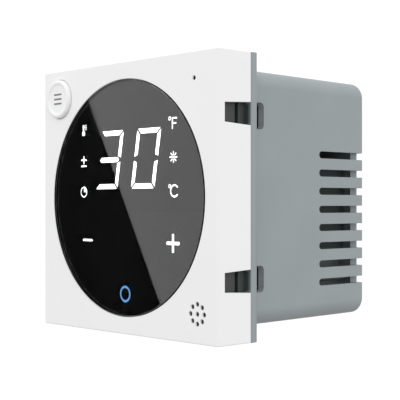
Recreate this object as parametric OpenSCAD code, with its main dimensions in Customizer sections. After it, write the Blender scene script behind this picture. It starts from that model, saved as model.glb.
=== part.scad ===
// Flush wall thermostat with a square face and a round touch display.
// X runs to the right, Y runs back into the wall and Z runs up.
// The origin is on the wall plane, midway between the two wall screw holes.

/* [Front frame] */
// Width and height of the square face
face_w = 86; // [84:0.5:104]
// Depth of the front frame behind its face
frame_depth = 13.5; // [13:0.5:18]
// Thickness of the frame's face
face_wall = 2.2; // [2:0.1:2.6]
// Thickness of the frame's four side walls
side_wall = 1.8; // [1.4:0.1:2]
// Gap between the frame's rear edge and the flange
seam = 0.1; // [0.05:0.05:0.5]
// Height of a pry notch or snap arm above or below the centre
latch_z = 24.7; // [20:0.1:26]
// Distance from the face to the front end of a pry notch
notch_start = 2.7; // [2.5:0.1:4]
// Height of a pry notch at its front end
notch_front_h = 5.75; // [4:0.05:7]
// Height of a pry notch at the frame's rear edge
notch_rear_h = 6.9; // [5:0.05:8]
// Thickness of the face in front of the speaker and the microphone
web_t = 0.6; // [0.5:0.1:1]
// Distance from the face to the rear edge of the carrier's skirts
skirt_end = 9.1; // [8.8:0.1:9.4]

/* [Display] */
// Diameter of the display opening in the face
display_d = 75; // [70:0.5:76]
// Gap all round the glass
glass_gap = 0.2; // [0.1:0.05:0.4]
// Thickness of the glass
glass_t = 1.8; // [1.5:0.1:2]
// How far the glass stands out of the face
glass_proud = 0.2; // [0:0.05:0.3]
// Thickness of the printed mask behind the glass
mask_t = 0.1; // [0.1:0.05:0.3]
// Thickness of the diffuser plates
diffuser_t = 1.1; // [0.8:0.1:1.2]
// Height of the figures
digit_h = 18.6; // [16:0.1:20]
// Width of a figure
digit_w = 11.4; // [9:0.1:12]
// Width of a figure's strokes
stroke = 1.55; // [1.3:0.05:2.2]
// Gap between two strokes
stroke_gap = 0.4; // [0.2:0.05:0.5]
// Lean of the figures in degrees
lean = 10; // [0:1:12]
// Distance between the two figures' centres
digit_pitch = 18.1; // [14:0.1:19]
// Offset of the pair of figures to the right
digits_x = 1.05; // [-2:0.05:2]
// Height of the figures' centre
digits_z = 12.2; // [10:0.1:14]
// Place of the left column of icons
icons_left_x = -21.6; // [-23:0.1:-20]
// Place of the right column of icons
icons_right_x = 22.9; // [20:0.1:24]
// Distance between two rows of icons
icon_pitch = 10.2; // [8:0.1:11]
// Distance from the side of the display opening to the middle of a plus or minus key
key_inset = 16.4; // [13.5:0.1:19.5]
// Height of the plus and minus keys
key_z = -13.8; // [-18:0.1:-12]
// Distance from the display opening's edge to the middle of the power key
power_inset = 7.1; // [6.5:0.1:11]

/* [Mode button and sound] */
// Diameter of the mode button
button_d = 13; // [11:0.1:13.2]
// Distance from the face's side edge to the button's centre
button_from_side = 8.8; // [8.7:0.1:9]
// Distance from the face's top edge to the button's centre
button_from_top = 9.5; // [9:0.1:10]
// How far the button stands out of the face
button_proud = 1.2; // [0.8:0.1:2]
// Travel of the button
button_travel = 0.35; // [0.2:0.05:0.4]
// Distance from the face's edges to the microphone hole
mic_from_side = 10.2; // [9:0.1:11]
// Distance from the face's top edge to the microphone hole
mic_from_top = 7.9; // [7:0.1:9]
// Distance from the face's edges to the speaker's centre
speaker_inset = 8.8; // [8.6:0.1:9.2]
// Radius of the ring of speaker holes
speaker_ring_r = 2.9; // [2.5:0.1:3.5]
// Diameter of a speaker hole
speaker_hole_d = 1.5; // [1:0.1:1.6]

/* [Rear housing] */
// Width and height of the flange
flange_w = 86; // [84:0.1:104]
// Thickness of the flange
flange_t = 3.1; // [2.4:0.1:4]
// Width and height of the box behind the flange
box_w = 78; // [76:0.1:79]
// Depth of the box behind the wall plane
box_depth = 55.6; // [52:0.1:70]
// Thickness of the box's side walls
box_wall = 2.4; // [2:0.1:2.6]
// Thickness of the box's rear wall
rear_wall = 2.7; // [2:0.1:3.2]
// Radius of the box's four long edges
box_fillet = 5.3; // [4:0.1:6]
// Radius of the box's rear edges
rear_fillet = 1.3; // [0.6:0.1:2]
// Distance from the face to the front edge of the cover's rim
rim_start = 10.5; // [10.2:0.1:11.4]
// Thickness of the cover's rim
rim_wall = 1.4; // [1.2:0.1:1.6]
// Distance between the two wall screws
wall_screw_spacing = 60.3; // [58:0.1:61]
// Diameter of a wall screw hole
wall_screw_d = 4.2; // [3.6:0.1:5]
// Width of the channel behind a wall screw hole
channel_w = 13; // [10:0.5:14]
// Depth of the channel behind the wall plane
channel_depth = 28; // [20:0.5:29]
// Height of a window behind the flange
window_h = 8.1; // [7.8:0.1:9]
// Length of a window behind the flange
window_len = 6.6; // [6:0.1:9]

/* [Vents] */
// Number of vent slots in each side
vent_count = 8; // [4:1:8]
// Distance between two vent slots
vent_pitch = 5.85; // [5:0.05:6]
// Height of a vent slot
vent_h = 2.3; // [1.5:0.05:2.5]
// Length of a vent slot along the side
vent_len = 23; // [14:0.5:24]
// Height of the vent slots' middle
vent_z = -6.6; // [-8:0.1:0]
// How far the slots run round onto the rear face
vent_wrap = 3.5; // [3:0.1:5]

/* [Terminals] */
// Distance between two terminals
pole_pitch = 5.08; // [5:0.02:5.2]
// Number of terminals in each block
poles = 3; // [2:1:3]
// Height of a terminal block behind its board
block_h = 16; // [15.5:0.1:17]
// Depth of a terminal block from its wire side
block_depth = 13.5; // [12:0.1:14]
// Distance from the centre to the inner end of a block
block_inner_x = 9.8; // [9:0.1:11]
// Radius of a terminal screw's thread
terminal_screw_r = 1.5; // [1.2:0.05:1.6]
// Travel of a wire clamp
clamp_travel = 1.6; // [1:0.1:1.8]

/* [Boards] */
// Thickness of the two boards
board_t = 1.6; // [1.2:0.1:1.6]
// Distance from the face to the display board
board_from_face = 6.5; // [6.3:0.1:7]
// Distance from the power board to the rear face
power_board_inset = 24; // [20:0.5:24]
// Height of the converter module behind its board
converter_h = 18.7; // [13:0.1:19]
// Thickness of the riser board
riser_t = 1.2; // [1:0.1:1.6]
// Sideways place of the riser board
riser_x = 12; // [10:0.5:14]

/* [Fits] */
// Gap between the mode button and its hole
button_gap = 0.15; // [0.1:0.05:0.25]
// Radial clearance of a turning or sliding pin
running_gap = 0.05; // [0.03:0.01:0.1]
// Gap between pieces that only lie side by side
loose_gap = 0.4; // [0.3:0.05:0.5]
// Clearance round a snap arm
arm_gap = 0.3; // [0.25:0.05:0.4]

/* [Hidden] */
$fn = 64;
tiny = 0.01;

// Colours
white_plastic = [0.93, 0.93, 0.93];
grey_plastic = [0.56, 0.59, 0.6];
board_green = [0.05, 0.32, 0.17];
metal = [0.75, 0.76, 0.78];
black_plastic = [0.06, 0.06, 0.07];
dark_plastic = [0.3, 0.31, 0.31];

// Front frame
face_y = -(flange_t + seam + frame_depth);
frame_rear_y = face_y + frame_depth;
frame_in_w = face_w - 2 * side_wall;
skirt_x = frame_in_w / 2 - 0.6;
skirt_t = 1.2;
skirt_len = 62;
arm_x = box_w / 2 - box_wall - 1.3;
arm_t = 1.2;
arm_w = 6;
arm_reach = 7.5;
nib = 0.7;

// Display stack, from the glass to the board
glass_r = display_d / 2 - glass_gap;
glass_front_y = face_y - glass_proud;
mask_y = glass_front_y + glass_t;
diffuser_y = mask_y + mask_t;
ledge_r = display_d / 2 - 2;
ledge_out_r = display_d / 2 + 2;
ledge_rear_y = diffuser_y + 1.5;
baffle_r = ledge_r - 0.3;
baffle_y = diffuser_y + diffuser_t;
board_y = face_y + board_from_face;
board_rear_y = board_y + board_t;
board_w = frame_in_w - 5.2;
led_h = 0.5;
led_w = 1.6;
led_d = 0.8;
shear = tan(lean);
icon_rows = [for (i = [-1:1]) digits_z + i * icon_pitch];
icon_plate_w = 6;
key_x = display_d / 2 - key_inset;
power_z = -(display_d / 2 - power_inset);
spring_r = 3.9;
spring_wall = 0.4;
key_plate_r = 3.3;

// Boss and screw places on the display board
boss_x = 22;
boss_r = 2.4;
boss_z = sqrt(pow(ledge_out_r + boss_r + 0.2, 2) - pow(boss_x, 2));
small_screw_r = 1.1;

// Mode button, microphone and speaker
button_x = -(face_w / 2 - button_from_side);
button_z = face_w / 2 - button_from_top;
button_ear_r = button_d / 2 + 1.1;
button_ear_w = 2.4;
button_ear_y = face_y + face_wall + 0.1;
button_ear_t = 0.9;
button_stem_r = 2;
switch_w = 6;
switch_h = 1.6;
switch_y = board_y - switch_h;
plunger_r = 1.6;
plunger_y = switch_y - 0.6;
plunger_depth = 0.5;
stem_gap = 0.1;
mic_x = face_w / 2 - mic_from_side;
mic_z = face_w / 2 - mic_from_top;
mic_hole_r = 0.7;
mic_h = 1.2;
boot_r = 2.2;
speaker_x = face_w / 2 - speaker_inset;
speaker_z = -speaker_x;
speaker_r = 5.6;
sensor_xz = -(face_w / 2 - 9);

// Rear housing
rim_w = 2 * skirt_x;
rim_front_y = face_y + rim_start;
cavity_w = box_w - 2 * box_wall;
cavity_r = 3;
cavity_rear_y = box_depth - rear_wall;
channel_wall = 1.8;
channel_floor = wall_screw_spacing / 2 - 4;
window_x = arm_x - arm_t - arm_gap;
window_r = 1.4;
corner_block = 7;
corner_depth = 12;
cover_t = 1.1;
cover_y = -flange_t - cover_t;
cover_lip = 1.4;
notch_floor_t = 0.6;
notch_floor_h = 5.6;
cover_lip_y = -flange_t + 2;
cover_screw_xz = cavity_w / 2 - 3.4;
power_y = box_depth - power_board_inset;
power_rear_y = power_y + board_t;
power_w = cavity_w - 2 * loose_gap;
post_x = cavity_w / 2 - 4.5;
post_zs = [23, -25];
post_r = 2.4;

// Terminal bay and blocks
block_w = poles * pole_pitch + 0.6;
block_end_x = block_inner_x + block_w;
block_bottom_z = -(box_w / 2 - 2.5);
block_top_z = block_bottom_z + block_depth;
block_rear_y = power_rear_y + block_h;
bay_w = 2 * (block_end_x + 2.4);
bay_top_z = block_top_z + 1.8;
bay_y = power_rear_y + 3.4;
bay_wall = 1.8;
clamp_w = pole_pitch - 0.9;
clamp_plate = 0.9;
clamp_h = 7;
clamp_d = 5;
clamp_nut = 1.5;
clamp_z = block_bottom_z + 6.2;
clamp_y = power_rear_y + 1.2;
pocket_gap = 0.15;
screw_head_r = 2.1;
screw_head_h = 1.6;
screw_head_y = block_rear_y - 0.4 - screw_head_h;
screw_tip_y = clamp_y + clamp_h - clamp_nut + clamp_travel - 1.9;
contact_t = 0.8;
contact_leg_out = 0.8;
contact_y = screw_tip_y - 0.1 - contact_t;

// Riser and connectors
riser_len_z = 24;
riser_front_y = -flange_t + 1;
header_len = 20.4;
header_base_h = 2;
header_y = riser_front_y - header_base_h;
pin_w = 0.64;
pin_pitch = 2.54;
pin_count = 8;
socket_w = 3;
socket_rear_y = header_y - 0.3;

function terminal_x(i) =
    i < poles ? -(block_inner_x + block_w / 2) + (i - (poles - 1) / 2) * pole_pitch
              : block_inner_x + block_w / 2 + (i - poles - (poles - 1) / 2) * pole_pitch;

// ---- shared shapes ----

// Extrudes an outline drawn in X and Z from y0 back to y1
module slab(y0, y1) {
    translate([0, y1, 0]) rotate([90, 0, 0]) linear_extrude(y1 - y0) children();
}

// Extrudes an outline drawn in Y and Z from x0 to x1
module across(x0, x1) {
    translate([x0, 0, 0]) rotate([90, 0, 90]) linear_extrude(x1 - x0) children();
}

// A round bar along Y from y0 back to y1
module rod(y0, y1, r) {
    translate([0, y0, 0]) rotate([-90, 0, 0]) cylinder(h = y1 - y0, r = r);
}

module at(x, z) {
    translate([x, 0, z]) children();
}

// A block between two corners
module block(low, high) {
    translate(low) cube(high - low);
}

module rounded_square(w, r) {
    square([w - 2 * r, w], center = true);
    square([w, w - 2 * r], center = true);
    for (x = [-1, 1], z = [-1, 1]) translate([x, z] * (w / 2 - r)) circle(r);
}

// A rectangle from y0 to y1 with its two rear corners rounded
module rear_rounded(w, y0, y1, r) {
    translate([-w / 2, y0]) square([w, y1 - y0 - r]);
    translate([-w / 2 + r, y0]) square([w - 2 * r, y1 - y0]);
    for (s = [-1, 1]) translate([s * (w / 2 - r), y1 - r]) circle(r);
}

// A box from y0 to y1 with four rounded long edges and rounded rear edges
module rounded_box(w, y0, y1, r, rear_r) {
    intersection() {
        slab(y0, y1) rounded_square(w, r);
        translate([0, 0, -w]) linear_extrude(2 * w) rear_rounded(w, y0, y1, rear_r);
        across(-w, w) rotate(90) mirror([0, 1]) rear_rounded(w, y0, y1, rear_r);
    }
}

// A pan-head screw along Y with its head at y and its shank running forward
module screw(y, head_r, head_h, shank_r, length) {
    difference() {
        union() {
            rod(y, y + head_h, head_r);
            rod(y - length, y + tiny, shank_r);
        }
        for (turn = [0, 90]) rotate([0, turn, 0])
            block([-head_r * 0.65, y + head_h * 0.45, -0.2], [head_r * 0.65, y + head_h + 1, 0.2]);
    }
}

module both_sides() {
    children();
    mirror([1, 0, 0]) children();
}

module four_latches() {
    both_sides() for (z = [-1, 1]) at(0, z * latch_z) children();
}

// ---- front frame ----

module frame_shell() {
    difference() {
        slab(face_y, frame_rear_y) square(face_w, center = true);
        slab(face_y + face_wall, frame_rear_y + 1) square(frame_in_w, center = true);
    }
}

module snap_arm() {
    across(arm_x - arm_t, arm_x) translate([face_y + face_wall - tiny, -arm_w / 2])
        square([arm_reach - face_y - face_wall, arm_w]);
    translate([0, 0, -arm_w / 2]) linear_extrude(arm_w)
        polygon([[arm_x - tiny, 1], [arm_x + nib, 1.4], [arm_x + nib, 2], [arm_x - tiny, arm_reach - 1]]);
}

module notch_cut() {
    y0 = face_y + notch_start;
    across(skirt_x, face_w) polygon([
        [y0, -notch_front_h / 2], [frame_rear_y + 1, -notch_rear_h / 2],
        [frame_rear_y + 1, notch_rear_h / 2], [y0, notch_front_h / 2]
    ]);
}

module speaker_holes() {
    at(speaker_x, speaker_z) {
        rod(face_y - 1, face_y + face_wall + 1, speaker_hole_d / 2);
        for (i = [0:7]) rotate([0, i * 45, 0]) at(speaker_ring_r, 0)
            rod(face_y - 1, face_y + face_wall + 1, speaker_hole_d / 2);
    }
}

module front_frame() {
    color(white_plastic) difference() {
        union() {
            frame_shell();
            rod(face_y + 0.5, ledge_rear_y, ledge_out_r);
            for (x = [-1, 1], z = [-1, 1]) at(x * boss_x, z * boss_z)
                rod(face_y + face_wall - tiny, board_y, boss_r);
            four_latches() snap_arm();
        }
        rod(face_y - 1, diffuser_y, display_d / 2);
        rod(face_y, ledge_rear_y + 1, ledge_r);
        for (x = [-1, 1], z = [-1, 1]) at(x * boss_x, z * boss_z)
            rod(face_y + face_wall + 0.5, board_y + 1, small_screw_r);
        at(button_x, button_z) rod(face_y - 1, face_y + face_wall + 1, button_d / 2 + button_gap);
        at(mic_x, mic_z) rod(face_y - 1, face_y + face_wall + 1, mic_hole_r);
        speaker_holes();
        at(mic_x, mic_z) rod(face_y + web_t, face_y + face_wall + 1, boot_r + 0.1);
        at(speaker_x, speaker_z) rod(face_y + web_t, face_y + face_wall + 1, speaker_r + 0.2);
        four_latches() notch_cut();
    }
}

// ---- display ----

module display_glass() {
    color([0.1, 0.1, 0.12, 0.4]) rod(glass_front_y, mask_y, glass_r);
}

// Leans a point of a figure to the right with its height
function leaned(p) = [p[0] + p[1] * shear, p[1]];

// One stroke of a figure: the top bar, the upper right bar and the middle bar
function top_bar() =
    let (x = digit_w / 2, z = digit_h / 2, g = stroke_gap)
    [[-x + g, z], [x - g, z], [x - stroke - g, z - stroke], [-x + stroke + g, z - stroke]];
function side_bar() =
    let (x = digit_w / 2, z = digit_h / 2, g = stroke_gap)
    [[x, z - g], [x, 1.5 * g], [x - stroke, stroke / 2 + g], [x - stroke, z - stroke - g]];
function middle_bar() =
    let (x = digit_w / 2 - 2 * stroke_gap, s = stroke / 2)
    [[-x, 0], [-x + s, s], [x - s, s], [x, 0], [x - s, -s], [-x + s, -s]];
function flipped(points, fx, fz) = [for (p = points) [p[0] * fx, p[1] * fz]];

module bar(points) {
    polygon([for (p = points) leaned(p)]);
}

// Draws a figure from the strokes that are lit
module figure(top, bottom, middle, upper_left, lower_left) {
    if (top) bar(top_bar());
    if (bottom) bar(flipped(top_bar(), 1, -1));
    if (middle) bar(middle_bar());
    bar(side_bar());
    bar(flipped(side_bar(), 1, -1));
    if (upper_left) bar(flipped(side_bar(), -1, 1));
    if (lower_left) bar(flipped(side_bar(), -1, -1));
}

module figures() {
    translate([digits_x - digit_pitch / 2, digits_z]) figure(true, true, true, false, false);
    translate([digits_x + digit_pitch / 2, digits_z]) figure(true, true, false, true, true);
}

module ring(r, w) {
    difference() {
        circle(r);
        circle(r - w);
    }
}

module thermometer_icon() {
    translate([-0.2, 1.15]) ring(0.6, 0.25);
    translate([-0.5, -1]) square([0.6, 2.2]);
    translate([-0.2, -1.05]) circle(0.8);
    for (z = [0.1, 0.75, 1.4]) translate([0.75, z]) square([0.7, 0.3]);
}

module plus_minus_icon() {
    translate([0, 0.35]) {
        square([2.9, 0.45], center = true);
        square([0.45, 2.7], center = true);
    }
    translate([0, -1.65]) square([2.9, 0.45], center = true);
}

module clock_icon() {
    ring(1.75, 0.33);
    intersection() {
        circle(1.6);
        square(2);
    }
}

module degree_mark() {
    translate([-1.7, 1.45]) ring(0.6, 0.28);
}

module fahrenheit_icon() {
    degree_mark();
    translate([-0.7, -1.75]) square([0.5, 3.5]);
    translate([-0.7, 1.3]) square([2.4, 0.45]);
    translate([-0.7, -0.25]) square([2, 0.45]);
}

module celsius_icon() {
    degree_mark();
    translate([0.45, 0]) difference() {
        ring(1.95, 0.45);
        translate([0.55, -1]) square([2, 2]);
    }
}

module sun_icon() {
    circle(0.4);
    for (i = [0:7]) rotate(45 * i) translate([0.65, -0.17]) square([1.15, 0.34]);
}

module power_ring() {
    ring(2.65, 0.75);
}

module minus_mark() {
    square([4.4, 0.65], center = true);
    for (s = [-1, 1]) translate([s * 2.2, 0]) circle(0.325);
}

module plus_mark() {
    square([5.8, 0.95], center = true);
    square([0.95, 5.6], center = true);
}

module display_art() {
    figures();
    translate([icons_left_x, icon_rows[2]]) thermometer_icon();
    translate([icons_left_x, icon_rows[1]]) plus_minus_icon();
    translate([icons_left_x, icon_rows[0]]) clock_icon();
    translate([icons_right_x, icon_rows[2]]) fahrenheit_icon();
    translate([icons_right_x, icon_rows[1]]) sun_icon();
    translate([icons_right_x, icon_rows[0]]) celsius_icon();
    translate([-key_x + 1.6, key_z]) minus_mark();
    translate([key_x + 1.6, key_z]) plus_mark();
    translate([0, power_z]) power_ring();
}

module display_mask() {
    color(black_plastic) slab(mask_y, diffuser_y) difference() {
        circle(glass_r);
        display_art();
    }
}

module diffuser_plate(x, z, w, h) {
    slab(diffuser_y, baffle_y) intersection() {
        translate([x, z]) square([w, h], center = true);
        circle(baffle_r);
    }
}

digits_plate_w = digit_pitch + digit_w + digit_h * shear + 1.4;
digits_plate_h = digit_h + 2;
icon_plate_h = 2 * icon_pitch + 6;

module digit_diffuser() {
    color("white") diffuser_plate(digits_x, digits_z, digits_plate_w, digits_plate_h);
}

module left_icon_diffuser() {
    color("white") diffuser_plate(icons_left_x, digits_z, icon_plate_w, icon_plate_h);
}

module right_icon_diffuser() {
    color("white") diffuser_plate(icons_right_x, digits_z, icon_plate_w, icon_plate_h);
}

module key_diffusers() {
    color("white") for (s = [-1, 1]) at(s * key_x + 1.6, key_z) rod(diffuser_y, baffle_y, key_plate_r);
}

module power_ring_diffuser() {
    color([0.3, 0.6, 0.9]) at(0, power_z) rod(diffuser_y, baffle_y, key_plate_r);
}

module key_places() {
    for (s = [-1, 1]) at(s * key_x + 1.6, key_z) children();
    at(0, power_z) children();
}

module icon_places() {
    for (x = [icons_left_x, icons_right_x], z = icon_rows) at(x, z) children();
}

// Middles of a figure's strokes, before they lean
led_spots = [for (x = [-1, 1], z = [-1, 1]) [x * (digit_w - stroke) / 2, z * digit_h / 4],
             for (z = [-1, 0, 1]) [0, z * (digit_h - stroke) / 2]];

module light_baffle() {
    color(white_plastic) difference() {
        rod(baffle_y, board_y - 0.2, baffle_r);
        for (s = [-1, 1]) translate([digits_x + s * digit_pitch / 2, 0, digits_z])
            slab(baffle_y - 1, board_y + 1) {
                for (p = led_spots) translate(leaned(p)) circle(1.6);
            }
        icon_places() rod(baffle_y - 1, board_y + 1, 2.2);
        key_places() rod(baffle_y - 1, board_y + 1, spring_r + 0.3);
    }
}

// The dark plate that spaces the display board from the face, with a skirt on its left and right
module display_carrier() {
    plate_y = ledge_rear_y + 0.3;
    color(dark_plastic) difference() {
        union() {
            slab(plate_y, board_y) square(rim_w, center = true);
            both_sides() block([skirt_x - skirt_t, plate_y, -skirt_len / 2],
                               [skirt_x, face_y + skirt_end, skirt_len / 2]);
        }
        rod(plate_y - 1, board_y + 1, ledge_r + 0.1);
        four_latches() block([window_x, plate_y - 1, -arm_w / 2 - arm_gap],
                             [arm_x + nib + arm_gap, board_y + 1, arm_w / 2 + arm_gap]);
        for (x = [-1, 1], z = [-1, 1]) at(x * boss_x, z * boss_z)
            rod(plate_y - 1, board_y + 1, boss_r + loose_gap);
        at(button_x, button_z) rod(plate_y - 1, board_y + 1, button_ear_r + loose_gap);
        block([-face_w, plate_y - 1, button_z], [button_x, board_y + 1, face_w]);
        at(mic_x, mic_z) rod(plate_y - 1, board_y + 1, boot_r + loose_gap);
        at(speaker_x, speaker_z) rod(plate_y - 1, board_y + 1, speaker_r + loose_gap);
        at(sensor_xz, sensor_xz) rod(plate_y - 1, board_y + 1, 2);
        icon_places() rod(plate_y - 1, board_y + 1, 2.2);
        key_places() rod(plate_y - 1, board_y + 1, spring_r + 0.3);
    }
}

module led() {
    block([-led_w / 2, board_y - led_h, -led_d / 2], [led_w / 2, board_y, led_d / 2]);
}

module display_leds() {
    color("ivory") {
        for (s = [-1, 1], p = led_spots)
            at(digits_x + s * digit_pitch / 2 + leaned(p)[0], digits_z + p[1]) led();
        icon_places() led();
        key_places() led();
    }
}

module touch_springs() {
    color(metal) key_places() difference() {
        rod(diffuser_y, board_y, spring_r);
        rod(diffuser_y - 1, board_y + 1, spring_r - spring_wall);
    }
}

module display_board() {
    color(board_green) difference() {
        slab(board_y, board_rear_y) rounded_square(board_w, 2);
        four_latches() block([window_x, board_y - 1, -arm_w / 2 - arm_gap],
                             [board_w, board_rear_y + 1, arm_w / 2 + arm_gap]);
        for (x = [-1, 1], z = [-1, 1]) at(x * boss_x, z * boss_z)
            rod(board_y - 1, board_rear_y + 1, small_screw_r + 0.2);
    }
}

module display_board_screws() {
    color(metal) for (x = [-1, 1], z = [-1, 1]) at(x * boss_x, z * boss_z)
        screw(board_rear_y, 1.9, 1.3, small_screw_r, board_t + 3.4);
}

// ---- mode button and sound ----

module mode_button() {
    color(white_plastic) at(button_x, button_z) difference() {
        union() {
            rod(face_y - button_proud, button_ear_y + tiny, button_d / 2);
            intersection() {
                rod(button_ear_y, button_ear_y + button_ear_t, button_ear_r);
                rotate([0, 45, 0])
                    block([-button_d, button_ear_y - 1, -button_ear_w / 2],
                          [button_d, button_ear_y + 2, button_ear_w / 2]);
            }
            rod(button_ear_y, plunger_y - stem_gap, button_stem_r);
        }
        rod(face_y - button_proud - 1, face_y - button_proud + 0.35, button_d / 2 - 1.4);
    }
}

module tact_switch() {
    color(black_plastic) at(button_x, button_z) difference() {
        block([-switch_w / 2, switch_y, -switch_w / 2], [switch_w / 2, board_y, switch_w / 2]);
        rod(switch_y - 1, switch_y + plunger_depth + button_travel + 0.15, plunger_r + running_gap);
    }
}

module tact_plunger() {
    color("dimgray") at(button_x, button_z) rod(plunger_y, switch_y + plunger_depth, plunger_r);
}

module microphone() {
    color(metal) at(mic_x, mic_z) difference() {
        block([-1.9, board_y - mic_h, -1.4], [1.9, board_y, 1.4]);
        rod(board_y - mic_h - 1, board_y - mic_h + 0.5, 0.4);
    }
}

module microphone_boot() {
    color(black_plastic) at(mic_x, mic_z) difference() {
        rod(face_y + web_t, board_y - mic_h, boot_r);
        rod(face_y, board_y, mic_hole_r + 0.1);
    }
}

module speaker() {
    front = face_y + web_t + 0.1;
    color(black_plastic) at(speaker_x, speaker_z) difference() {
        rod(front, board_y, speaker_r);
        rod(front + 0.9, front + 1.3, speaker_r - 0.7);
        for (i = [0:5]) rotate([0, i * 60, 0]) at(1.6, 0) rod(front - 1, front + 1, 0.5);
    }
}

module temperature_sensor() {
    color("saddlebrown") at(sensor_xz, sensor_xz) {
        translate([0, board_y - 2.4, 0]) sphere(1.2, $fn = 32);
        for (s = [-1, 1]) at(s * 0.7, 0) rod(board_y - 2.4, board_y, 0.25);
    }
}

// ---- parts on the rear of the display board ----

module radio_module() {
    color("silver") {
        block([-28, board_rear_y, -22], [-10, board_rear_y + 0.8, 3.5]);
        block([-27, board_rear_y + 0.8 - tiny, -21], [-11, board_rear_y + 3.2, -4]);
    }
}

module controller_chip() {
    color(black_plastic) difference() {
        block([-25, board_rear_y, 8], [-15, board_rear_y + 1.4, 18]);
        at(-23.5, 9.5) rod(board_rear_y + 1.2, board_rear_y + 2, 0.5);
    }
}

module header_socket() {
    color(black_plastic) difference() {
        block([riser_x + riser_t / 2 - socket_w / 2, board_rear_y, -header_len / 2 - 0.6],
              [riser_x + riser_t / 2 + socket_w / 2, socket_rear_y, header_len / 2 + 0.6]);
        block([riser_x + riser_t / 2 - pin_w / 2 - loose_gap, board_rear_y + 0.5, -header_len / 2 + 0.4],
              [riser_x + riser_t / 2 + pin_w / 2 + loose_gap, socket_rear_y + 1, header_len / 2 - 0.4]);
    }
}

// ---- rear housing ----

module channel_shape(grow) {
    translate([-channel_w / 2 - grow, channel_floor - grow]) square([channel_w + 2 * grow, box_w]);
}

module corner_shapes(grow) {
    for (x = [-1, 1], z = [-1, 1])
        translate([x, z] * cavity_w / 2) square(2 * (corner_block + grow), center = true);
}

module both_channels(grow) {
    channel_shape(grow);
    mirror([0, 1]) channel_shape(grow);
}

// Clear space inside the box, with the screw channels and corner blocks left solid
module cavity() {
    difference() {
        rounded_box(cavity_w, -flange_t - 1, cavity_rear_y, cavity_r, cavity_r);
        slab(-flange_t - 2, channel_depth + channel_wall) both_channels(channel_wall);
        slab(-flange_t - 2, corner_depth) corner_shapes(0);
        bay_block(bay_wall);
        for (x = [-1, 1], z = post_zs) at(x * post_x, z) rod(power_rear_y, box_depth, post_r);
    }
}

module bay_block(grow) {
    block([-bay_w / 2 - grow, bay_y - grow, -box_w], [bay_w / 2 + grow, box_depth + 1, bay_top_z + grow]);
}

module block_windows() {
    both_sides() block([block_inner_x - arm_gap, power_rear_y, block_bottom_z - arm_gap],
                       [block_end_x + arm_gap, bay_y + 1, block_top_z + contact_leg_out + arm_gap]);
}

module latch_window() {
    block([window_x, -flange_t - 1, -arm_w / 2 - arm_gap],
          [arm_x + nib + arm_gap, window_len, arm_w / 2 + arm_gap]);
    across(window_x, box_w) {
        translate([0, -window_h / 2]) square([window_len - window_r, window_h]);
        translate([0, -window_h / 2 + window_r]) square([window_len, window_h - 2 * window_r]);
        for (s = [-1, 1]) translate([window_len - window_r, s * (window_h / 2 - window_r)])
            circle(window_r);
    }
}

module vent_slots() {
    first_z = vent_z + (vent_count - 1) / 2 * vent_pitch;
    front_y = box_depth - vent_len + vent_h / 2;
    both_sides() for (i = [0:vent_count - 1]) at(0, first_z - i * vent_pitch)
        across(box_w / 2 - vent_wrap, box_w) {
            translate([front_y, 0]) circle(vent_h / 2, $fn = 32);
            translate([front_y, -vent_h / 2]) square([vent_len + 1, vent_h]);
        }
}

module rear_housing() {
    color(grey_plastic) difference() {
        union() {
            slab(-flange_t, 0) rounded_square(flange_w, 0.3);
            rounded_box(box_w, -flange_t / 2, box_depth, box_fillet, rear_fillet);
        }
        cavity();
        slab(tiny, channel_depth) both_channels(0);
        bay_block(0);
        block_windows();
        for (z = [-1, 1]) at(0, z * wall_screw_spacing / 2) rod(-flange_t - 1, 1, wall_screw_d / 2);
        four_latches() latch_window();
        vent_slots();
        for (x = [-1, 1], z = [-1, 1]) at(x * cover_screw_xz, z * cover_screw_xz)
            rod(-flange_t - 1, -flange_t + 8, small_screw_r);
        for (x = [-1, 1], z = post_zs) at(x * post_x, z) rod(power_rear_y - 1, power_rear_y + 8, small_screw_r);
    }
}

// The dark cover on the front of the housing, with the rim that locates the front frame
module housing_cover() {
    color(dark_plastic) difference() {
        union() {
            slab(rim_front_y, -flange_t) square(rim_w, center = true);
            slab(-flange_t - tiny, cover_lip_y) rounded_square(cavity_w - 2 * loose_gap, cavity_r);
            four_latches() block([skirt_x - 1, -flange_t - notch_floor_t, -notch_floor_h / 2],
                                 [face_w / 2 - 0.6, -flange_t, notch_floor_h / 2]);
        }
        slab(rim_front_y - 1, cover_y) square(rim_w - 2 * rim_wall, center = true);
        slab(-flange_t, cover_lip_y + 1) square(cavity_w - 2 * loose_gap - 2 * cover_lip, center = true);
        slab(-flange_t, cover_lip_y + 1) {
            both_channels(channel_wall + loose_gap);
            corner_shapes(loose_gap);
        }
        slab(cover_y - 1, cover_lip_y) both_channels(0);
        four_latches() block([window_x, cover_y - 1, -arm_w / 2 - arm_gap],
                             [arm_x + nib + arm_gap, -flange_t + tiny, arm_w / 2 + arm_gap]);
        four_latches() block([window_x, -flange_t, -arm_w / 2 - arm_gap],
                             [box_w, cover_lip_y + 1, arm_w / 2 + arm_gap]);
        block([riser_x - 2, cover_y - 1, -riser_len_z / 2 - 1],
              [riser_x + riser_t + 2, cover_lip_y + 1, riser_len_z / 2 + 1]);
        for (x = [-1, 1], z = [-1, 1]) at(x * cover_screw_xz, z * cover_screw_xz)
            rod(cover_y - 1, cover_lip_y + 1, small_screw_r + 0.2);
    }
}

// Turns a screw so that its head faces the front
module front_screw(y, head_r, head_h, shank_r, length) {
    translate([0, y, 0]) rotate([0, 0, 180]) translate([0, -y, 0]) screw(y, head_r, head_h, shank_r, length);
}

module cover_screws() {
    color(metal) for (x = [-1, 1], z = [-1, 1]) at(x * cover_screw_xz, z * cover_screw_xz)
        front_screw(cover_y, 2.1, 1.2, small_screw_r, cover_t + 5);
}

// ---- boards and parts inside the housing ----

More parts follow.
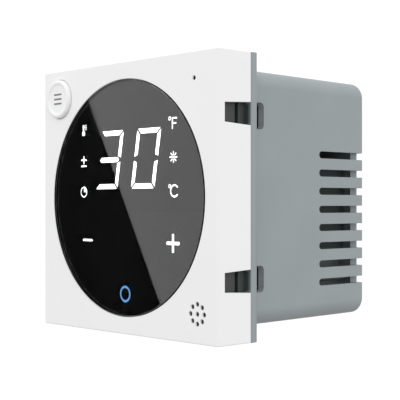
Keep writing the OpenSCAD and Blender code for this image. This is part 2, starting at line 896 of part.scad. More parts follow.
module power_board() {
    color(board_green) difference() {
        slab(power_y, power_rear_y) difference() {
            rounded_square(power_w, cavity_r);
            both_channels(channel_wall + loose_gap);
            corner_shapes(loose_gap);
        }
        for (x = [-1, 1], z = post_zs) at(x * post_x, z)
            rod(power_y - 1, power_rear_y + 1, small_screw_r + 0.2);
    }
}

module power_board_screws() {
    color(metal) for (x = [-1, 1], z = post_zs) at(x * post_x, z)
        front_screw(power_y, 2, 1.3, small_screw_r, board_t + 5);
}

module riser_board() {
    color(board_green) block([riser_x, riser_front_y, -riser_len_z / 2],
                             [riser_x + riser_t, power_y, riser_len_z / 2]);
}

module pin_header() {
    middle_x = riser_x + riser_t / 2;
    color(black_plastic) block([middle_x - 1.25, header_y, -header_len / 2],
                               [middle_x + 1.25, riser_front_y, header_len / 2]);
    color("gold") for (i = [0:pin_count - 1]) at(middle_x, (i - (pin_count - 1) / 2) * pin_pitch)
        block([-pin_w / 2, board_rear_y + 1.2, -pin_w / 2], [pin_w / 2, header_y + tiny, pin_w / 2]);
}

module converter_module() {
    color(black_plastic) difference() {
        block([post_x - 20.5, power_rear_y, -18.6], [post_x + 0.5, power_rear_y + converter_h, 12]);
        block([post_x - 19.5, power_rear_y + converter_h - 0.4, -17.6],
              [post_x - 0.5, power_rear_y + converter_h + 1, 11]);
    }
}

module relay(z) {
    color([0.1, 0.25, 0.5]) difference() {
        block([-30, power_y - 15.3, z], [-11, power_y, z + 15.5]);
        block([-29, power_y - 16, z + 1], [-28, power_y - 15, z + 14.5]);
    }
}

module relay_1() {
    relay(-18);
}

module relay_2() {
    relay(2);
}

module fuse() {
    color("burlywood") translate([-2, power_y - 4.2, -19]) rotate([0, 90, 0]) {
        cylinder(h = 10, r = 2);
        for (z = [0.6, 9.4]) translate([0, 2.1, z]) cube([0.6, 4.2, 0.6], center = true);
    }
}

module safety_capacitor() {
    color([0.75, 0.65, 0.2]) difference() {
        block([-8, power_y - 12, -14], [9, power_y, -7]);
        block([-7.4, power_y - 13, -13.4], [8.4, power_y - 11.6, -7.6]);
    }
}

module smoothing_capacitors() {
    color([0.15, 0.15, 0.2]) for (x = [-4, 5]) at(x, 16) {
        difference() {
            rod(power_y - 16, power_y, 4);
            rotate([0, 45, 0]) block([-3, power_y - 17, -0.2], [3, power_y - 15.7, 0.2]);
            rotate([0, -45, 0]) block([-3, power_y - 17, -0.2], [3, power_y - 15.7, 0.2]);
        }
    }
}

module varistor() {
    color([0.1, 0.4, 0.5]) {
        translate([-4, power_y - 7, -2]) cylinder(h = 3.6, r = 5);
        for (x = [-2.5, 2.5]) at(-4 + x, -0.2) rod(power_y - 4, power_y, 0.35);
    }
}

// ---- terminals ----

module pole_cuts(i) {
    at(terminal_x(i), 0) {
        // Pocket in which the clamp slides
        block([-clamp_w / 2 - pocket_gap, clamp_y - pocket_gap, clamp_z - clamp_d / 2 - pocket_gap],
              [clamp_w / 2 + pocket_gap, clamp_y + clamp_h + clamp_travel + pocket_gap,
               clamp_z + clamp_d / 2 + pocket_gap]);
        // Wire entry from below
        block([-clamp_w / 2 + clamp_plate, clamp_y + clamp_plate, block_bottom_z - 1],
              [clamp_w / 2 - clamp_plate, contact_y - 0.3, clamp_z]);
        // Slot for the contact bar
        block([-clamp_w / 2 + clamp_plate, contact_y - 0.3 - tiny, block_bottom_z + 1.5],
              [clamp_w / 2 - clamp_plate, contact_y + contact_t, block_top_z + 1]);
        at(0, clamp_z) {
            rod(clamp_y, block_rear_y + 1, terminal_screw_r + 0.15);
            rod(screw_head_y - 0.1, block_rear_y + 1, screw_head_r + 0.15);
        }
    }
}

module terminal_block(first) {
    x0 = terminal_x(first) - pole_pitch / 2 - 0.3;
    color([0.1, 0.45, 0.25]) difference() {
        block([x0, power_rear_y, block_bottom_z], [x0 + block_w, block_rear_y, block_top_z]);
        for (i = [first:first + poles - 1]) pole_cuts(i);
    }
}

module terminal_block_left() {
    terminal_block(0);
}

module terminal_block_right() {
    terminal_block(poles);
}

module terminal_contacts() {
    color(metal) for (i = [0:2 * poles - 1]) at(terminal_x(i), 0) {
        block([-clamp_w / 2 + clamp_plate + 0.15, contact_y, block_bottom_z + 2],
              [clamp_w / 2 - clamp_plate - 0.15, contact_y + contact_t, block_top_z + contact_leg_out]);
        block([-0.5, power_rear_y, block_top_z + 0.1],
              [0.5, contact_y + contact_t, block_top_z + contact_leg_out]);
    }
}

module terminal_screw(i) {
    color(metal) at(terminal_x(i), clamp_z) difference() {
        union() {
            rod(screw_head_y, screw_head_y + screw_head_h, screw_head_r);
            rod(screw_tip_y, screw_head_y + tiny, terminal_screw_r);
        }
        block([-screw_head_r - 1, screw_head_y + 0.8, -0.3],
              [screw_head_r + 1, screw_head_y + screw_head_h + 1, 0.3]);
    }
}

module terminal_clamp(i) {
    color(metal) at(terminal_x(i), clamp_z) difference() {
        block([-clamp_w / 2, clamp_y, -clamp_d / 2], [clamp_w / 2, clamp_y + clamp_h, clamp_d / 2]);
        block([-clamp_w / 2 + clamp_plate, clamp_y + clamp_plate, -clamp_d],
              [clamp_w / 2 - clamp_plate, clamp_y + clamp_h - clamp_nut, clamp_d]);
        rod(screw_tip_y - clamp_travel - 0.1, clamp_y + clamp_h + 1, terminal_screw_r + running_gap);
    }
}

module terminal_screw_1() { terminal_screw(0); }
module terminal_screw_2() { terminal_screw(1); }
module terminal_screw_3() { terminal_screw(2); }
module terminal_screw_4() { terminal_screw(3); }
module terminal_screw_5() { terminal_screw(4); }
module terminal_screw_6() { terminal_screw(5); }
module terminal_clamp_1() { terminal_clamp(0); }
module terminal_clamp_2() { terminal_clamp(1); }
module terminal_clamp_3() { terminal_clamp(2); }
module terminal_clamp_4() { terminal_clamp(3); }
module terminal_clamp_5() { terminal_clamp(4); }
module terminal_clamp_6() { terminal_clamp(5); }

front_frame();
display_glass();
display_mask();
digit_diffuser();
left_icon_diffuser();
right_icon_diffuser();
key_diffusers();
power_ring_diffuser();
light_baffle();
display_carrier();
display_board();
display_leds();
touch_springs();
display_board_screws();
mode_button();
tact_switch();
tact_plunger();
microphone();
microphone_boot();
speaker();
temperature_sensor();
radio_module();
controller_chip();
header_socket();
rear_housing();
housing_cover();
cover_screws();
power_board();
power_board_screws();
riser_board();
pin_header();
converter_module();
relay_1();
relay_2();
fuse();
safety_capacitor();
smoothing_capacitors();
varistor();
terminal_block_left();
terminal_block_right();
terminal_contacts();
terminal_screw_1();
terminal_screw_2();
terminal_screw_3();
terminal_screw_4();
terminal_screw_5();
terminal_screw_6();
terminal_clamp_1();
terminal_clamp_2();
terminal_clamp_3();
terminal_clamp_4();
terminal_clamp_5();
terminal_clamp_6();
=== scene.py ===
"""Flush wall thermostat: finished pieces, finishes and studio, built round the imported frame."""
import logging
import math
from dataclasses import dataclass
from enum import Enum
from typing import Callable, ClassVar, Sequence

import bmesh
import bpy
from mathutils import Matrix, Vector


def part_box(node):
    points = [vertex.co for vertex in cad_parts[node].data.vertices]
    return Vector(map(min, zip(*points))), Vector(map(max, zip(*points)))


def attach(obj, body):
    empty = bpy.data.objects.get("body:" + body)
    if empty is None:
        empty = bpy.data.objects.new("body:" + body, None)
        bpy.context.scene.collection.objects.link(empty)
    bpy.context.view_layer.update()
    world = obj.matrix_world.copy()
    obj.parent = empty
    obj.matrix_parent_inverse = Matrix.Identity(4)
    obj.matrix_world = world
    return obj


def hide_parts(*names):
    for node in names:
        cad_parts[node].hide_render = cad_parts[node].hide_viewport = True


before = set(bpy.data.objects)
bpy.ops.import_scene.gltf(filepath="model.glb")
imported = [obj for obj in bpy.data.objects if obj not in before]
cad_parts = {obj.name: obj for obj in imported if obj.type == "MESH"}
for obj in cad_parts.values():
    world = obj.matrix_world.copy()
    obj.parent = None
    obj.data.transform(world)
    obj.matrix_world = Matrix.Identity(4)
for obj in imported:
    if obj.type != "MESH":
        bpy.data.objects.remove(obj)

log = logging.getLogger("thermostat")

MM = 0.001          # metres in a millimetre
NEAR = 0.01         # millimetres within which two places are the same
MERGE = NEAR / 20   # millimetres within which vertices become one
SMOOTH = 35         # degrees below which an edge is shaded round
QUARTER_TURN = math.pi / 2

Piece = bpy.types.Object
Number = "float | Signal"
SIGNS = (-1, 1)
CORNERS = [(x, z) for x in SIGNS for z in SIGNS]


class Body(Enum):
    """The moving bodies that pieces ride on."""

    HOUSING = "housing"
    COVER = "front_cover"
    BUTTON = "mode_button"
    PLUNGER = "switch_plunger"


class Shape(Enum):
    """How one solid changes another."""

    CUT = "DIFFERENCE"
    JOIN = "UNION"
    KEEP = "INTERSECT"


class Element(Enum):
    """What an edit-mode selection holds."""

    EDGE = "EDGE"
    FACE = "FACE"


class Plane(Enum):
    """The two axes that a printed pattern lies along."""

    XZ = (0, 2)
    YZ = (1, 2)


def box_mm(node: str) -> tuple[Vector, Vector]:
    """Measures a CAD node at rest.

    Args:
        node: The node's name.

    Returns:
        Its lowest and highest corners in millimetres.
    """
    low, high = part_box(node)
    return low / MM, high / MM


def middle_mm(node: str) -> Vector:
    """Gives the middle of a CAD node's box in millimetres."""
    low, high = box_mm(node)
    return (low + high) / 2


# ---------------------------------------------------------------- modelling


class Bench:
    """Modelling moves in millimetres; deliver() turns a finished piece into metres."""

    @staticmethod
    def take(piece: Piece) -> None:
        """Selects one piece and makes it active."""
        bpy.ops.object.select_all(action="DESELECT")
        piece.select_set(True)
        bpy.context.view_layer.objects.active = piece

    @staticmethod
    def rename(piece: Piece, name: str) -> Piece:
        """Names a piece and its mesh."""
        piece.name = name
        piece.data.name = name
        return piece

    @staticmethod
    def bake(piece: Piece) -> Piece:
        """Bakes a piece's place, turn and scale into its mesh."""
        Bench.take(piece)
        bpy.ops.object.transform_apply(location=True, rotation=True, scale=True)
        return piece

    @staticmethod
    def settle(name: str) -> Piece:
        """Names the piece just added and bakes its place into its mesh."""
        return Bench.bake(Bench.rename(bpy.context.object, name))

    @staticmethod
    def face_outwards(merge: float = 0.0) -> None:
        """Turns the active piece's faces outwards, after merging vertices closer than merge."""
        bpy.ops.object.mode_set(mode="EDIT")
        bpy.ops.mesh.select_all(action="SELECT")
        if merge:
            bpy.ops.mesh.remove_doubles(threshold=merge)
        bpy.ops.mesh.normals_make_consistent(inside=False)
        bpy.ops.object.mode_set(mode="OBJECT")

    @staticmethod
    def modify(piece: Piece, kind: str, **settings: object) -> None:
        """Adds a modifier to a piece and applies it.

        Args:
            piece: The piece to change.
            kind: The modifier's type.
            settings: Its properties.
        """
        Bench.take(piece)
        modifier = piece.modifiers.new(kind.lower(), kind)
        for key, value in settings.items():
            setattr(modifier, key, value)
        bpy.ops.object.modifier_apply(modifier=modifier.name)

    @staticmethod
    def block(name: str, low: Sequence[float], high: Sequence[float]) -> Piece:
        """Adds a box.

        Args:
            name: The piece's name.
            low: Its lowest corner.
            high: Its highest corner.

        Returns:
            The new piece.
        """
        low, high = Vector(low), Vector(high)
        bpy.ops.object.select_all(action="DESELECT")
        bpy.ops.mesh.primitive_cube_add(size=1, location=(low + high) / 2, scale=high - low)
        return Bench.settle(name)

    @staticmethod
    def turned(
        name: str, centre: tuple[float,
                                 float], rings: Sequence[tuple[float, float]], sides: int = 64
    ) -> Piece:
        """Builds a round solid along Y by extruding a disc from ring to ring.

        Args:
            name: The piece's name.
            centre: X and Z of its axis.
            rings: Radius and Y of each ring, from front to back.
            sides: Number of sides.

        Returns:
            The closed solid.
        """
        x, z = centre
        radius, y = rings[0]
        bpy.ops.object.select_all(action="DESELECT")
        bpy.ops.mesh.primitive_circle_add(
            vertices=sides, radius=radius, fill_type="NGON", location=(x, y, z),
            rotation=(QUARTER_TURN, 0, 0)
        )
        piece = Bench.settle(name)
        bpy.ops.object.mode_set(mode="EDIT")
        bpy.ops.mesh.select_all(action="SELECT")
        for next_radius, next_y in rings[1:]:
            bpy.ops.mesh.extrude_region_move(TRANSFORM_OT_translate={"value": (0, next_y - y, 0)})
            growth = next_radius / radius
            bpy.ops.transform.resize(value=(growth, 1, growth), center_override=(x, next_y, z))
            radius, y = next_radius, next_y
        Bench.face_outwards()
        return piece

    @staticmethod
    def rod(
        name: str, centre: tuple[float,
                                 float], front: float, rear: float, radius: float, sides: int = 48
    ) -> Piece:
        """Adds a round bar along Y from front to rear, for cutting or joining."""
        return Bench.turned(name, centre, [(radius, front), (radius, rear)], sides)

    @staticmethod
    def pick(piece: Piece, element: Element, test: Callable[..., bool]) -> None:
        """Enters edit mode and selects what passes a test.

        Args:
            piece: The piece to select on.
            element: Whether edges or faces are tested.
            test: Takes an edge's two ends, or a face's centre and normal.
        """
        Bench.take(piece)
        bpy.ops.object.mode_set(mode="EDIT")
        bpy.ops.mesh.select_mode(type=element.value)
        bpy.ops.mesh.select_all(action="DESELECT")
        form = bmesh.from_edit_mesh(piece.data)
        if element is Element.EDGE:
            for edge in form.edges:
                edge.select_set(test(edge.verts[0].co, edge.verts[1].co))
        else:
            for face in form.faces:
                face.select_set(test(face.calc_center_median(), face.normal))
        bmesh.update_edit_mesh(piece.data)

    @staticmethod
    def round_edges(piece: Piece, radius: float, steps: int, test: Callable[..., bool]) -> None:
        """Rounds the edges that pass a test.

        Args:
            piece: The piece to shape.
            radius: The edges' radius.
            steps: Faces across each rounding.
            test: Takes an edge's two ends.
        """
        Bench.pick(piece, Element.EDGE, test)
        bpy.ops.mesh.bevel(offset=radius, segments=steps, affect="EDGES", clamp_overlap=True)
        bpy.ops.object.mode_set(mode="OBJECT")

    @staticmethod
    def taper(piece: Piece, rear: float, factors: tuple[float, float],
              centre: tuple[float, float]) -> None:
        """Scales the face that lies at one depth.

        Args:
            piece: The piece to shape.
            rear: Y of the face.
            factors: Scales along X and Z.
            centre: X and Z that the face shrinks or grows about.
        """
        Bench.pick(piece, Element.FACE, lambda middle, normal: abs(middle.y - rear) < NEAR)
        bpy.ops.transform.resize(
            value=(factors[0], 1, factors[1]), center_override=(centre[0], rear, centre[1])
        )
        bpy.ops.object.mode_set(mode="OBJECT")

    @staticmethod
    def shape(piece: Piece, how: Shape, tools: Sequence[Piece]) -> Piece:
        """Cuts, joins or intersects a piece with others, which are used up.

        Args:
            piece: The piece to change.
            how: What the tools do.
            tools: The other solids.

        Returns:
            The changed piece.
        """
        for tool in tools:
            Bench.modify(piece, "BOOLEAN", operation=how.value, solver="EXACT", object=tool)
            bpy.data.objects.remove(tool)
        return piece

    @staticmethod
    def gather(name: str, pieces: Sequence[Piece]) -> Piece:
        """Makes one object of pieces that don't touch each other."""
        Bench.take(pieces[0])
        for piece in pieces:
            piece.select_set(True)
        bpy.ops.object.join()
        return Bench.rename(bpy.context.object, name)

    @staticmethod
    def copy_at(piece: Piece, shift: Sequence[float]) -> Piece:
        """Copies a piece with its own mesh and moves the copy's mesh."""
        Bench.take(piece)
        bpy.ops.object.duplicate()
        twin = bpy.context.object
        twin.location = shift
        return Bench.bake(twin)

    @staticmethod
    def mirrored(piece: Piece, axis: int) -> Piece:
        """Copies a piece and mirrors the copy across the frame's middle.

        Args:
            piece: The piece to copy.
            axis: 0 mirrors X, and 2 mirrors Z.

        Returns:
            The mirrored copy, with its faces turned outwards again.
        """
        twin = Bench.copy_at(piece, (0, 0, 0))
        twin.scale[axis] = -1
        Bench.bake(twin)
        Bench.face_outwards()
        return twin

    @staticmethod
    def four_ways(piece: Piece) -> Piece:
        """Mirrors a piece into all four quarters and joins the four."""
        right = Bench.mirrored(piece, 0)
        return Bench.gather(piece.name,
                            [piece, right, Bench.mirrored(piece, 2), Bench.mirrored(right, 2)])

    @staticmethod
    def deliver(piece: Piece, name: str, smooth_degrees: float = SMOOTH) -> Piece:
        """Cleans a finished piece, turns it into metres and shades its roundings.

        Args:
            piece: The piece as modelled.
            name: Its final name.
            smooth_degrees: Edges flatter than this look round.

        Returns:
            The piece, at the origin, unturned and unscaled.
        """
        Bench.rename(piece, name)
        Bench.take(piece)
        Bench.face_outwards(merge=MERGE)
        piece.scale = (MM, MM, MM)
        Bench.bake(piece)
        Bench.shade(piece, smooth_degrees)
        return piece

    @staticmethod
    def shade(piece: Piece, smooth_degrees: float) -> None:
        """Smooths a piece's roundings and keeps its flats flat."""
        Bench.take(piece)
        bpy.ops.object.shade_smooth_by_angle(angle=math.radians(smooth_degrees))
        Bench.modify(piece, "WEIGHTED_NORMAL", keep_sharp=True)

    @staticmethod
    def softened(node: str, name: str, radius: float, steps: int = 2) -> Piece:
        """Copies a CAD node, merges the copy and rounds its sharp edges.

        Args:
            node: The CAD node.
            name: The new piece's name.
            radius: The edges' radius in millimetres.
            steps: Faces across each rounding.

        Returns:
            The new piece in metres.
        """
        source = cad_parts[node]
        piece = bpy.data.objects.new(name, source.data.copy())
        bpy.context.scene.collection.objects.link(piece)
        Bench.rename(piece, name)
        piece.data.materials.clear()
        Bench.take(piece)
        bpy.ops.object.mode_set(mode="EDIT")
        bpy.ops.mesh.select_all(action="SELECT")
        bpy.ops.mesh.remove_doubles(threshold=1e-6)
        bpy.ops.mesh.customdata_custom_splitnormals_clear()
        bpy.ops.mesh.dissolve_limited(angle_limit=math.radians(1))
        bpy.ops.object.mode_set(mode="OBJECT")
        Bench.modify(piece, "BEVEL", width=radius * MM, segments=steps, limit_method="ANGLE",
                     angle_limit=math.radians(40))
        Bench.shade(piece, SMOOTH)
        return piece


def along_y(a: Vector, b: Vector) -> bool:
    """Tells whether an edge runs along Y."""
    return abs(a.x - b.x) < NEAR and abs(a.z - b.z) < NEAR


def at_depth(y: float) -> Callable[[Vector, Vector], bool]:
    """Makes a test for edges that lie wholly at one Y."""
    return lambda a, b: abs(a.y - y) < NEAR and abs(b.y - y) < NEAR


def either(*tests: Callable[[Vector, Vector], bool]) -> Callable[[Vector, Vector], bool]:
    """Makes a test that passes when any of several does."""
    return lambda a, b: any(test(a, b) for test in tests)


def rounded_lip(radius: float, front: float, lip: float,
                steps: int = 5) -> list[tuple[float, float]]:
    """Gives the rings of a hole's rounded front edge.

    Args:
        radius: The hole's radius.
        front: Y of the face that the hole is in.
        lip: Radius of the rounding.
        steps: Rings along the rounding.

    Returns:
        Radius and Y of each ring, starting in front of the face.
    """
    rings = [(radius + lip, front - 1)]
    for step in range(steps + 1):
        angle = QUARTER_TURN * step / steps
        rings.append((radius + lip - lip * math.sin(angle), front + lip - lip * math.cos(angle)))
    return rings


# ---------------------------------------------------------------- shader maths


class Signal:
    """One shader value; arithmetic on it adds Math nodes."""

    def __init__(self, recipe: "Recipe", socket: bpy.types.NodeSocket) -> None:
        """Wraps an output socket of a recipe's node."""
        self.recipe = recipe
        self.socket = socket

    def maths(self, operation: str, first: Number, second: Number = 0.0) -> "Signal":
        """Adds one Math node.

        Args:
            operation: The node's operation.
            first: Its first value.
            second: Its second value.

        Returns:
            The node's result.
        """
        return self.recipe.node("ShaderNodeMath", {"operation": operation}, {0: first, 1: second})

    def __add__(self, other: Number) -> "Signal":
        """Adds."""
        return self.maths("ADD", self, other)

    __radd__ = __add__

    def __sub__(self, other: Number) -> "Signal":
        """Subtracts."""
        return self.maths("SUBTRACT", self, other)

    def __rsub__(self, other: Number) -> "Signal":
        """Subtracts this from another value."""
        return self.maths("SUBTRACT", other, self)

    def __mul__(self, other: Number) -> "Signal":
        """Multiplies."""
        return self.maths("MULTIPLY", self, other)

    __rmul__ = __mul__

    def __truediv__(self, other: Number) -> "Signal":
        """Divides."""
        return self.maths("DIVIDE", self, other)

    def __gt__(self, other: Number) -> "Signal":
        """Gives 1 where this is the larger."""
        return self.maths("GREATER_THAN", self, other)

    def __lt__(self, other: Number) -> "Signal":
        """Gives 1 where this is the smaller."""
        return self.maths("LESS_THAN", self, other)

    def __abs__(self) -> "Signal":
        """Gives the size without its sign."""
        return self.maths("ABSOLUTE", self)

    def whole(self) -> "Signal":
        """Gives the whole part."""
        return self.maths("FLOOR", self)

    def part(self) -> "Signal":
        """Gives what is left above the whole part."""
        return self.maths("FRACT", self)

    def larger(self, other: Number) -> "Signal":
        """Gives the larger of two values."""
        return self.maths("MAXIMUM", self, other)

    def spread(self, low: float, high: float, to_low: float, to_high: float) -> "Signal":
        """Maps a span of values onto another and holds it at the ends."""
        return self.recipe.node("ShaderNodeMapRange", {"clamp": True},
                                {"Value": self, "From Min": low, "From Max": high,
                                 "To Min": to_low, "To Max": to_high})


class Recipe:
    """The node tree of one material while it is written."""

    def __init__(self, name: str) -> None:
        """Starts an empty material.

        Args:
            name: The material's name.
        """
        self.material = bpy.data.materials.new(name)
        self.material.use_nodes = True
        self.tree = self.material.node_tree
        self.tree.nodes.clear()

    def node(self, kind: str, settings: dict | None = None, values: dict | None = None,
             output: int | str = 0) -> Signal:
        """Adds any node.

        Args:
            kind: The node's type.
            settings: Its properties, and the stops of a ramp as (place, colour) pairs.
            values: Numbers, colours or signals for its sockets, by name or number.
            output: The output that is wanted.

        Returns:
            That output as a signal.
        """
        made = self.tree.nodes.new(kind)
        for key, value in (settings or {}).items():
            if key == "stops":
                self.set_stops(made, value)
            else:
                setattr(made, key, value)
        for key, value in (values or {}).items():
            if isinstance(value, Signal):
                self.tree.links.new(value.socket, made.inputs[key])
            else:
                made.inputs[key].default_value = value
        return Signal(self, made.outputs[output])

    @staticmethod
    def set_stops(ramp: bpy.types.Node, stops: Sequence[tuple[float, tuple]]) -> None:
        """Sets a colour ramp's stops."""
        elements = ramp.color_ramp.elements
        while len(elements) < len(stops):
            elements.new(0.5)
        for element, (place, colour) in zip(elements, stops):
            element.position = place
            element.color = (*colour, 1)

    def place(self, stretch: tuple[float, float, float] = (1, 1, 1),
              centre: Sequence[float] = (0, 0, 0)) -> Signal:
        """Gives the place on the object in millimetres.

        Args:
            stretch: Extra scale along each axis.
            centre: Point, in millimetres, that becomes the zero point.

        Returns:
            The place as a vector.
        """
        raw = self.node("ShaderNodeTexCoord", output="Object")
        scale = tuple(s / MM for s in stretch)
        shift = tuple(-c * s for c, s in zip(centre, stretch))
        return self.node("ShaderNodeMapping", {"vector_type": "POINT"},
                         {"Vector": raw, "Scale": scale, "Location": shift})

    def axes(self, place: Signal) -> tuple[Signal, Signal, Signal]:
        """Splits a place into its three numbers."""
        made = self.tree.nodes.new("ShaderNodeSeparateXYZ")
        self.tree.links.new(place.socket, made.inputs[0])
        return tuple(Signal(self, output) for output in made.outputs)

    def join(self, x: Number, y: Number, z: Number) -> Signal:
        """Makes a place from three numbers."""
        return self.node("ShaderNodeCombineXYZ", {}, {0: x, 1: y, 2: z})

    def noise(self, place: Signal, per_mm: float, detail: float = 2.0) -> Signal:
        """Gives soft noise between 0 and 1 with its grain size as 1 / per_mm."""
        return self.node("ShaderNodeTexNoise", {"noise_dimensions": "3D"},
                         {"Vector": place, "Scale": per_mm, "Detail": detail})

    def chance(self, place: Signal) -> Signal:
        """Gives a random number for each place."""
        return self.node("ShaderNodeTexWhiteNoise", {"noise_dimensions": "3D"}, {"Vector": place})

    def blend(self, share: Number, first: "tuple | Signal", second: "tuple | Signal") -> Signal:
        """Mixes two colours.

        Args:
            share: 0 gives the first colour, and 1 the second.
            first: A colour or a signal.
            second: A colour or a signal.

        Returns:
            The mixed colour.
        """
        values = {0: share}
        for key, colour in ((6, first), (7, second)):
            values[key] = colour if isinstance(colour, Signal) else (*colour, 1)
        return self.node("ShaderNodeMix", {"data_type": "RGBA", "clamp_factor": True}, values, 2)

    def bump(self, height: Signal, depth_mm: float, strength: float = 1.0,
             under: Signal | None = None) -> Signal:
        """Turns a height into a normal.

        Args:
            height: The height, between 0 and 1.
            depth_mm: Millimetres that a height of 1 stands for.
            strength: How much of it shows.
            under: A normal that this one lies on.

        Returns:
            The bumped normal.
        """
        values = {"Height": height, "Distance": depth_mm * MM, "Strength": strength}
        if under is not None:
            values["Normal"] = under
        return self.node("ShaderNodeBump", {}, values)

    def surface(self, **values: "Number | tuple") -> bpy.types.Material:
        """Ends the recipe in one shader.

        Args:
            values: The shader's sockets, written with _ for a space.

        Returns:
            The finished material.
        """
        named = {key.replace("_", " "): value for key, value in values.items()}
        for key in ("Base Color", "Emission Color"):
            if key in named and not isinstance(named[key], Signal):
                named[key] = (*named[key], 1)
        shader = self.node("ShaderNodeBsdfPrincipled", {}, named)
        output = self.tree.nodes.new("ShaderNodeOutputMaterial")
        self.tree.links.new(shader.socket, output.inputs["Surface"])
        return self.material


def shade_of(colour: Sequence[float], factor: float) -> tuple[float, float, float]:
    """Makes a colour lighter or darker, up to white."""
    return tuple(min(channel * factor, 1.0) for channel in colour)


# ---------------------------------------------------------------- finishes


@dataclass(frozen=True)
class MouldedPlastic:
    """Injection-moulded plastic with a fine spark-eroded grain."""

    name: str
    colour: tuple[float, float, float]
    roughness: float
    grain_per_mm: float = 7.0
    grain_mm: float = 0.006
    mottle: float = 0.02
    specular: float = 0.5

    def make(self) -> bpy.types.Material:
        """Builds the material."""
        recipe = Recipe(self.name)
        place = recipe.place()
        grain = recipe.noise(place, self.grain_per_mm, 3.0)
        cloud = recipe.noise(place, 0.06, 2.0)
        colour = recipe.blend(cloud.spread(0.3, 0.7, 0, 1), shade_of(self.colour, 1 - self.mottle),
                              shade_of(self.colour, 1 + self.mottle))
        speck = recipe.noise(place, self.grain_per_mm * 3, 1.0) > 0.71
        colour = recipe.blend(speck * 0.35, colour, shade_of(self.colour, 0.9))
        rough = cloud.spread(0.3, 0.7, self.roughness - 0.03, self.roughness + 0.04)
        rough = rough + grain * 0.06
        return recipe.surface(Base_Color=colour, Roughness=rough, Specular_IOR_Level=self.specular,
                              Normal=recipe.bump(grain, self.grain_mm))


@dataclass(frozen=True)
class PrintedCap:
    """The frame's plastic with a generic mark of three bars printed on it."""

    name: str
    colour: tuple[float, float, float]
    roughness: float
    ink: tuple[float, float, float]
    centre: tuple[float, float]
    bar_w: float = 4.4
    bar_h: float = 0.62
    bar_pitch: float = 1.55

    def make(self) -> bpy.types.Material:
        """Builds the material."""
        recipe = Recipe(self.name)
        place = recipe.place(centre=(self.centre[0], 0, self.centre[1]))
        x, _, z = recipe.axes(place)
        row = abs(z / self.bar_pitch)
        rise = abs(((z / self.bar_pitch) + 0.5).part() - 0.5) * self.bar_pitch
        run = (abs(x) - (self.bar_w / 2 - self.bar_h / 2)).larger(0)
        reach = recipe.node("ShaderNodeMath", {"operation": "SQRT"}, {0: run * run + rise * rise})
        ragged = recipe.noise(place, 9.0, 2.0) * 0.06
        print_mask = (reach + ragged < self.bar_h / 2 + 0.03) * (row < 1.5)
        grain = recipe.noise(place, 7.0, 3.0)
        colour = recipe.blend(print_mask, self.colour, self.ink)
        rough = grain * 0.06 + self.roughness - print_mask * 0.08
        normal = recipe.bump(grain, 0.006)
        normal = recipe.bump(print_mask, 0.015, 0.6, normal)
        return recipe.surface(Base_Color=colour, Roughness=rough, Normal=normal)


@dataclass(frozen=True)
class CoverGlass:
    """Clear toughened glass with faint wiped smears."""

    name: str
    index: float

    def make(self) -> bpy.types.Material:
        """Builds the material."""
        recipe = Recipe(self.name)
        place = recipe.place((1, 1, 0.35))
        smear = recipe.noise(place, 0.09, 4.0)
        rough = smear.spread(0.45, 0.8, 0.0, 0.035)
        return recipe.surface(Base_Color=(1, 1, 1), Roughness=rough, IOR=self.index,
                              Transmission_Weight=1.0)


@dataclass(frozen=True)
class PrintedFilm:
    """Opaque ink on the back of the glass, with the weave of the screen it was printed through."""

    name: str
    colour: tuple[float, float, float]
    roughness: float

    def make(self) -> bpy.types.Material:
        """Builds the material."""
        recipe = Recipe(self.name)
        place = recipe.place()
        x, _, z = recipe.axes(place)
        weave = abs((x * 4).part() - 0.5).larger(abs((z * 4).part() - 0.5))
        cloud = recipe.noise(place, 0.2, 2.0)
        colour = recipe.blend(cloud, shade_of(self.colour, 0.85), shade_of(self.colour, 1.2))
        return recipe.surface(Base_Color=colour, Roughness=cloud * 0.1 + self.roughness,
                              Normal=recipe.bump(weave, 0.004), Specular_IOR_Level=0.0)


@dataclass(frozen=True)
class LitPlate:
    """A milky diffuser lit from behind by small lamps."""

    name: str
    glow: tuple[float, float, float]
    edge: tuple[float, float, float]
    strength: float
    body: tuple[float, float, float] = (0.85, 0.86, 0.86)

    def make(self) -> bpy.types.Material:
        """Builds the material."""
        recipe = Recipe(self.name)
        place = recipe.place()
        spots = recipe.noise(place, 0.35, 1.0)
        glow = recipe.blend(spots.spread(0.35, 0.65, 0, 1), self.edge, self.glow)
        frost = recipe.noise(place, 5.0, 2.0)
        return recipe.surface(Base_Color=self.body, Roughness=frost * 0.1 + 0.4,
                              Emission_Color=glow,
                              Emission_Strength=self.strength, Normal=recipe.bump(frost, 0.01))


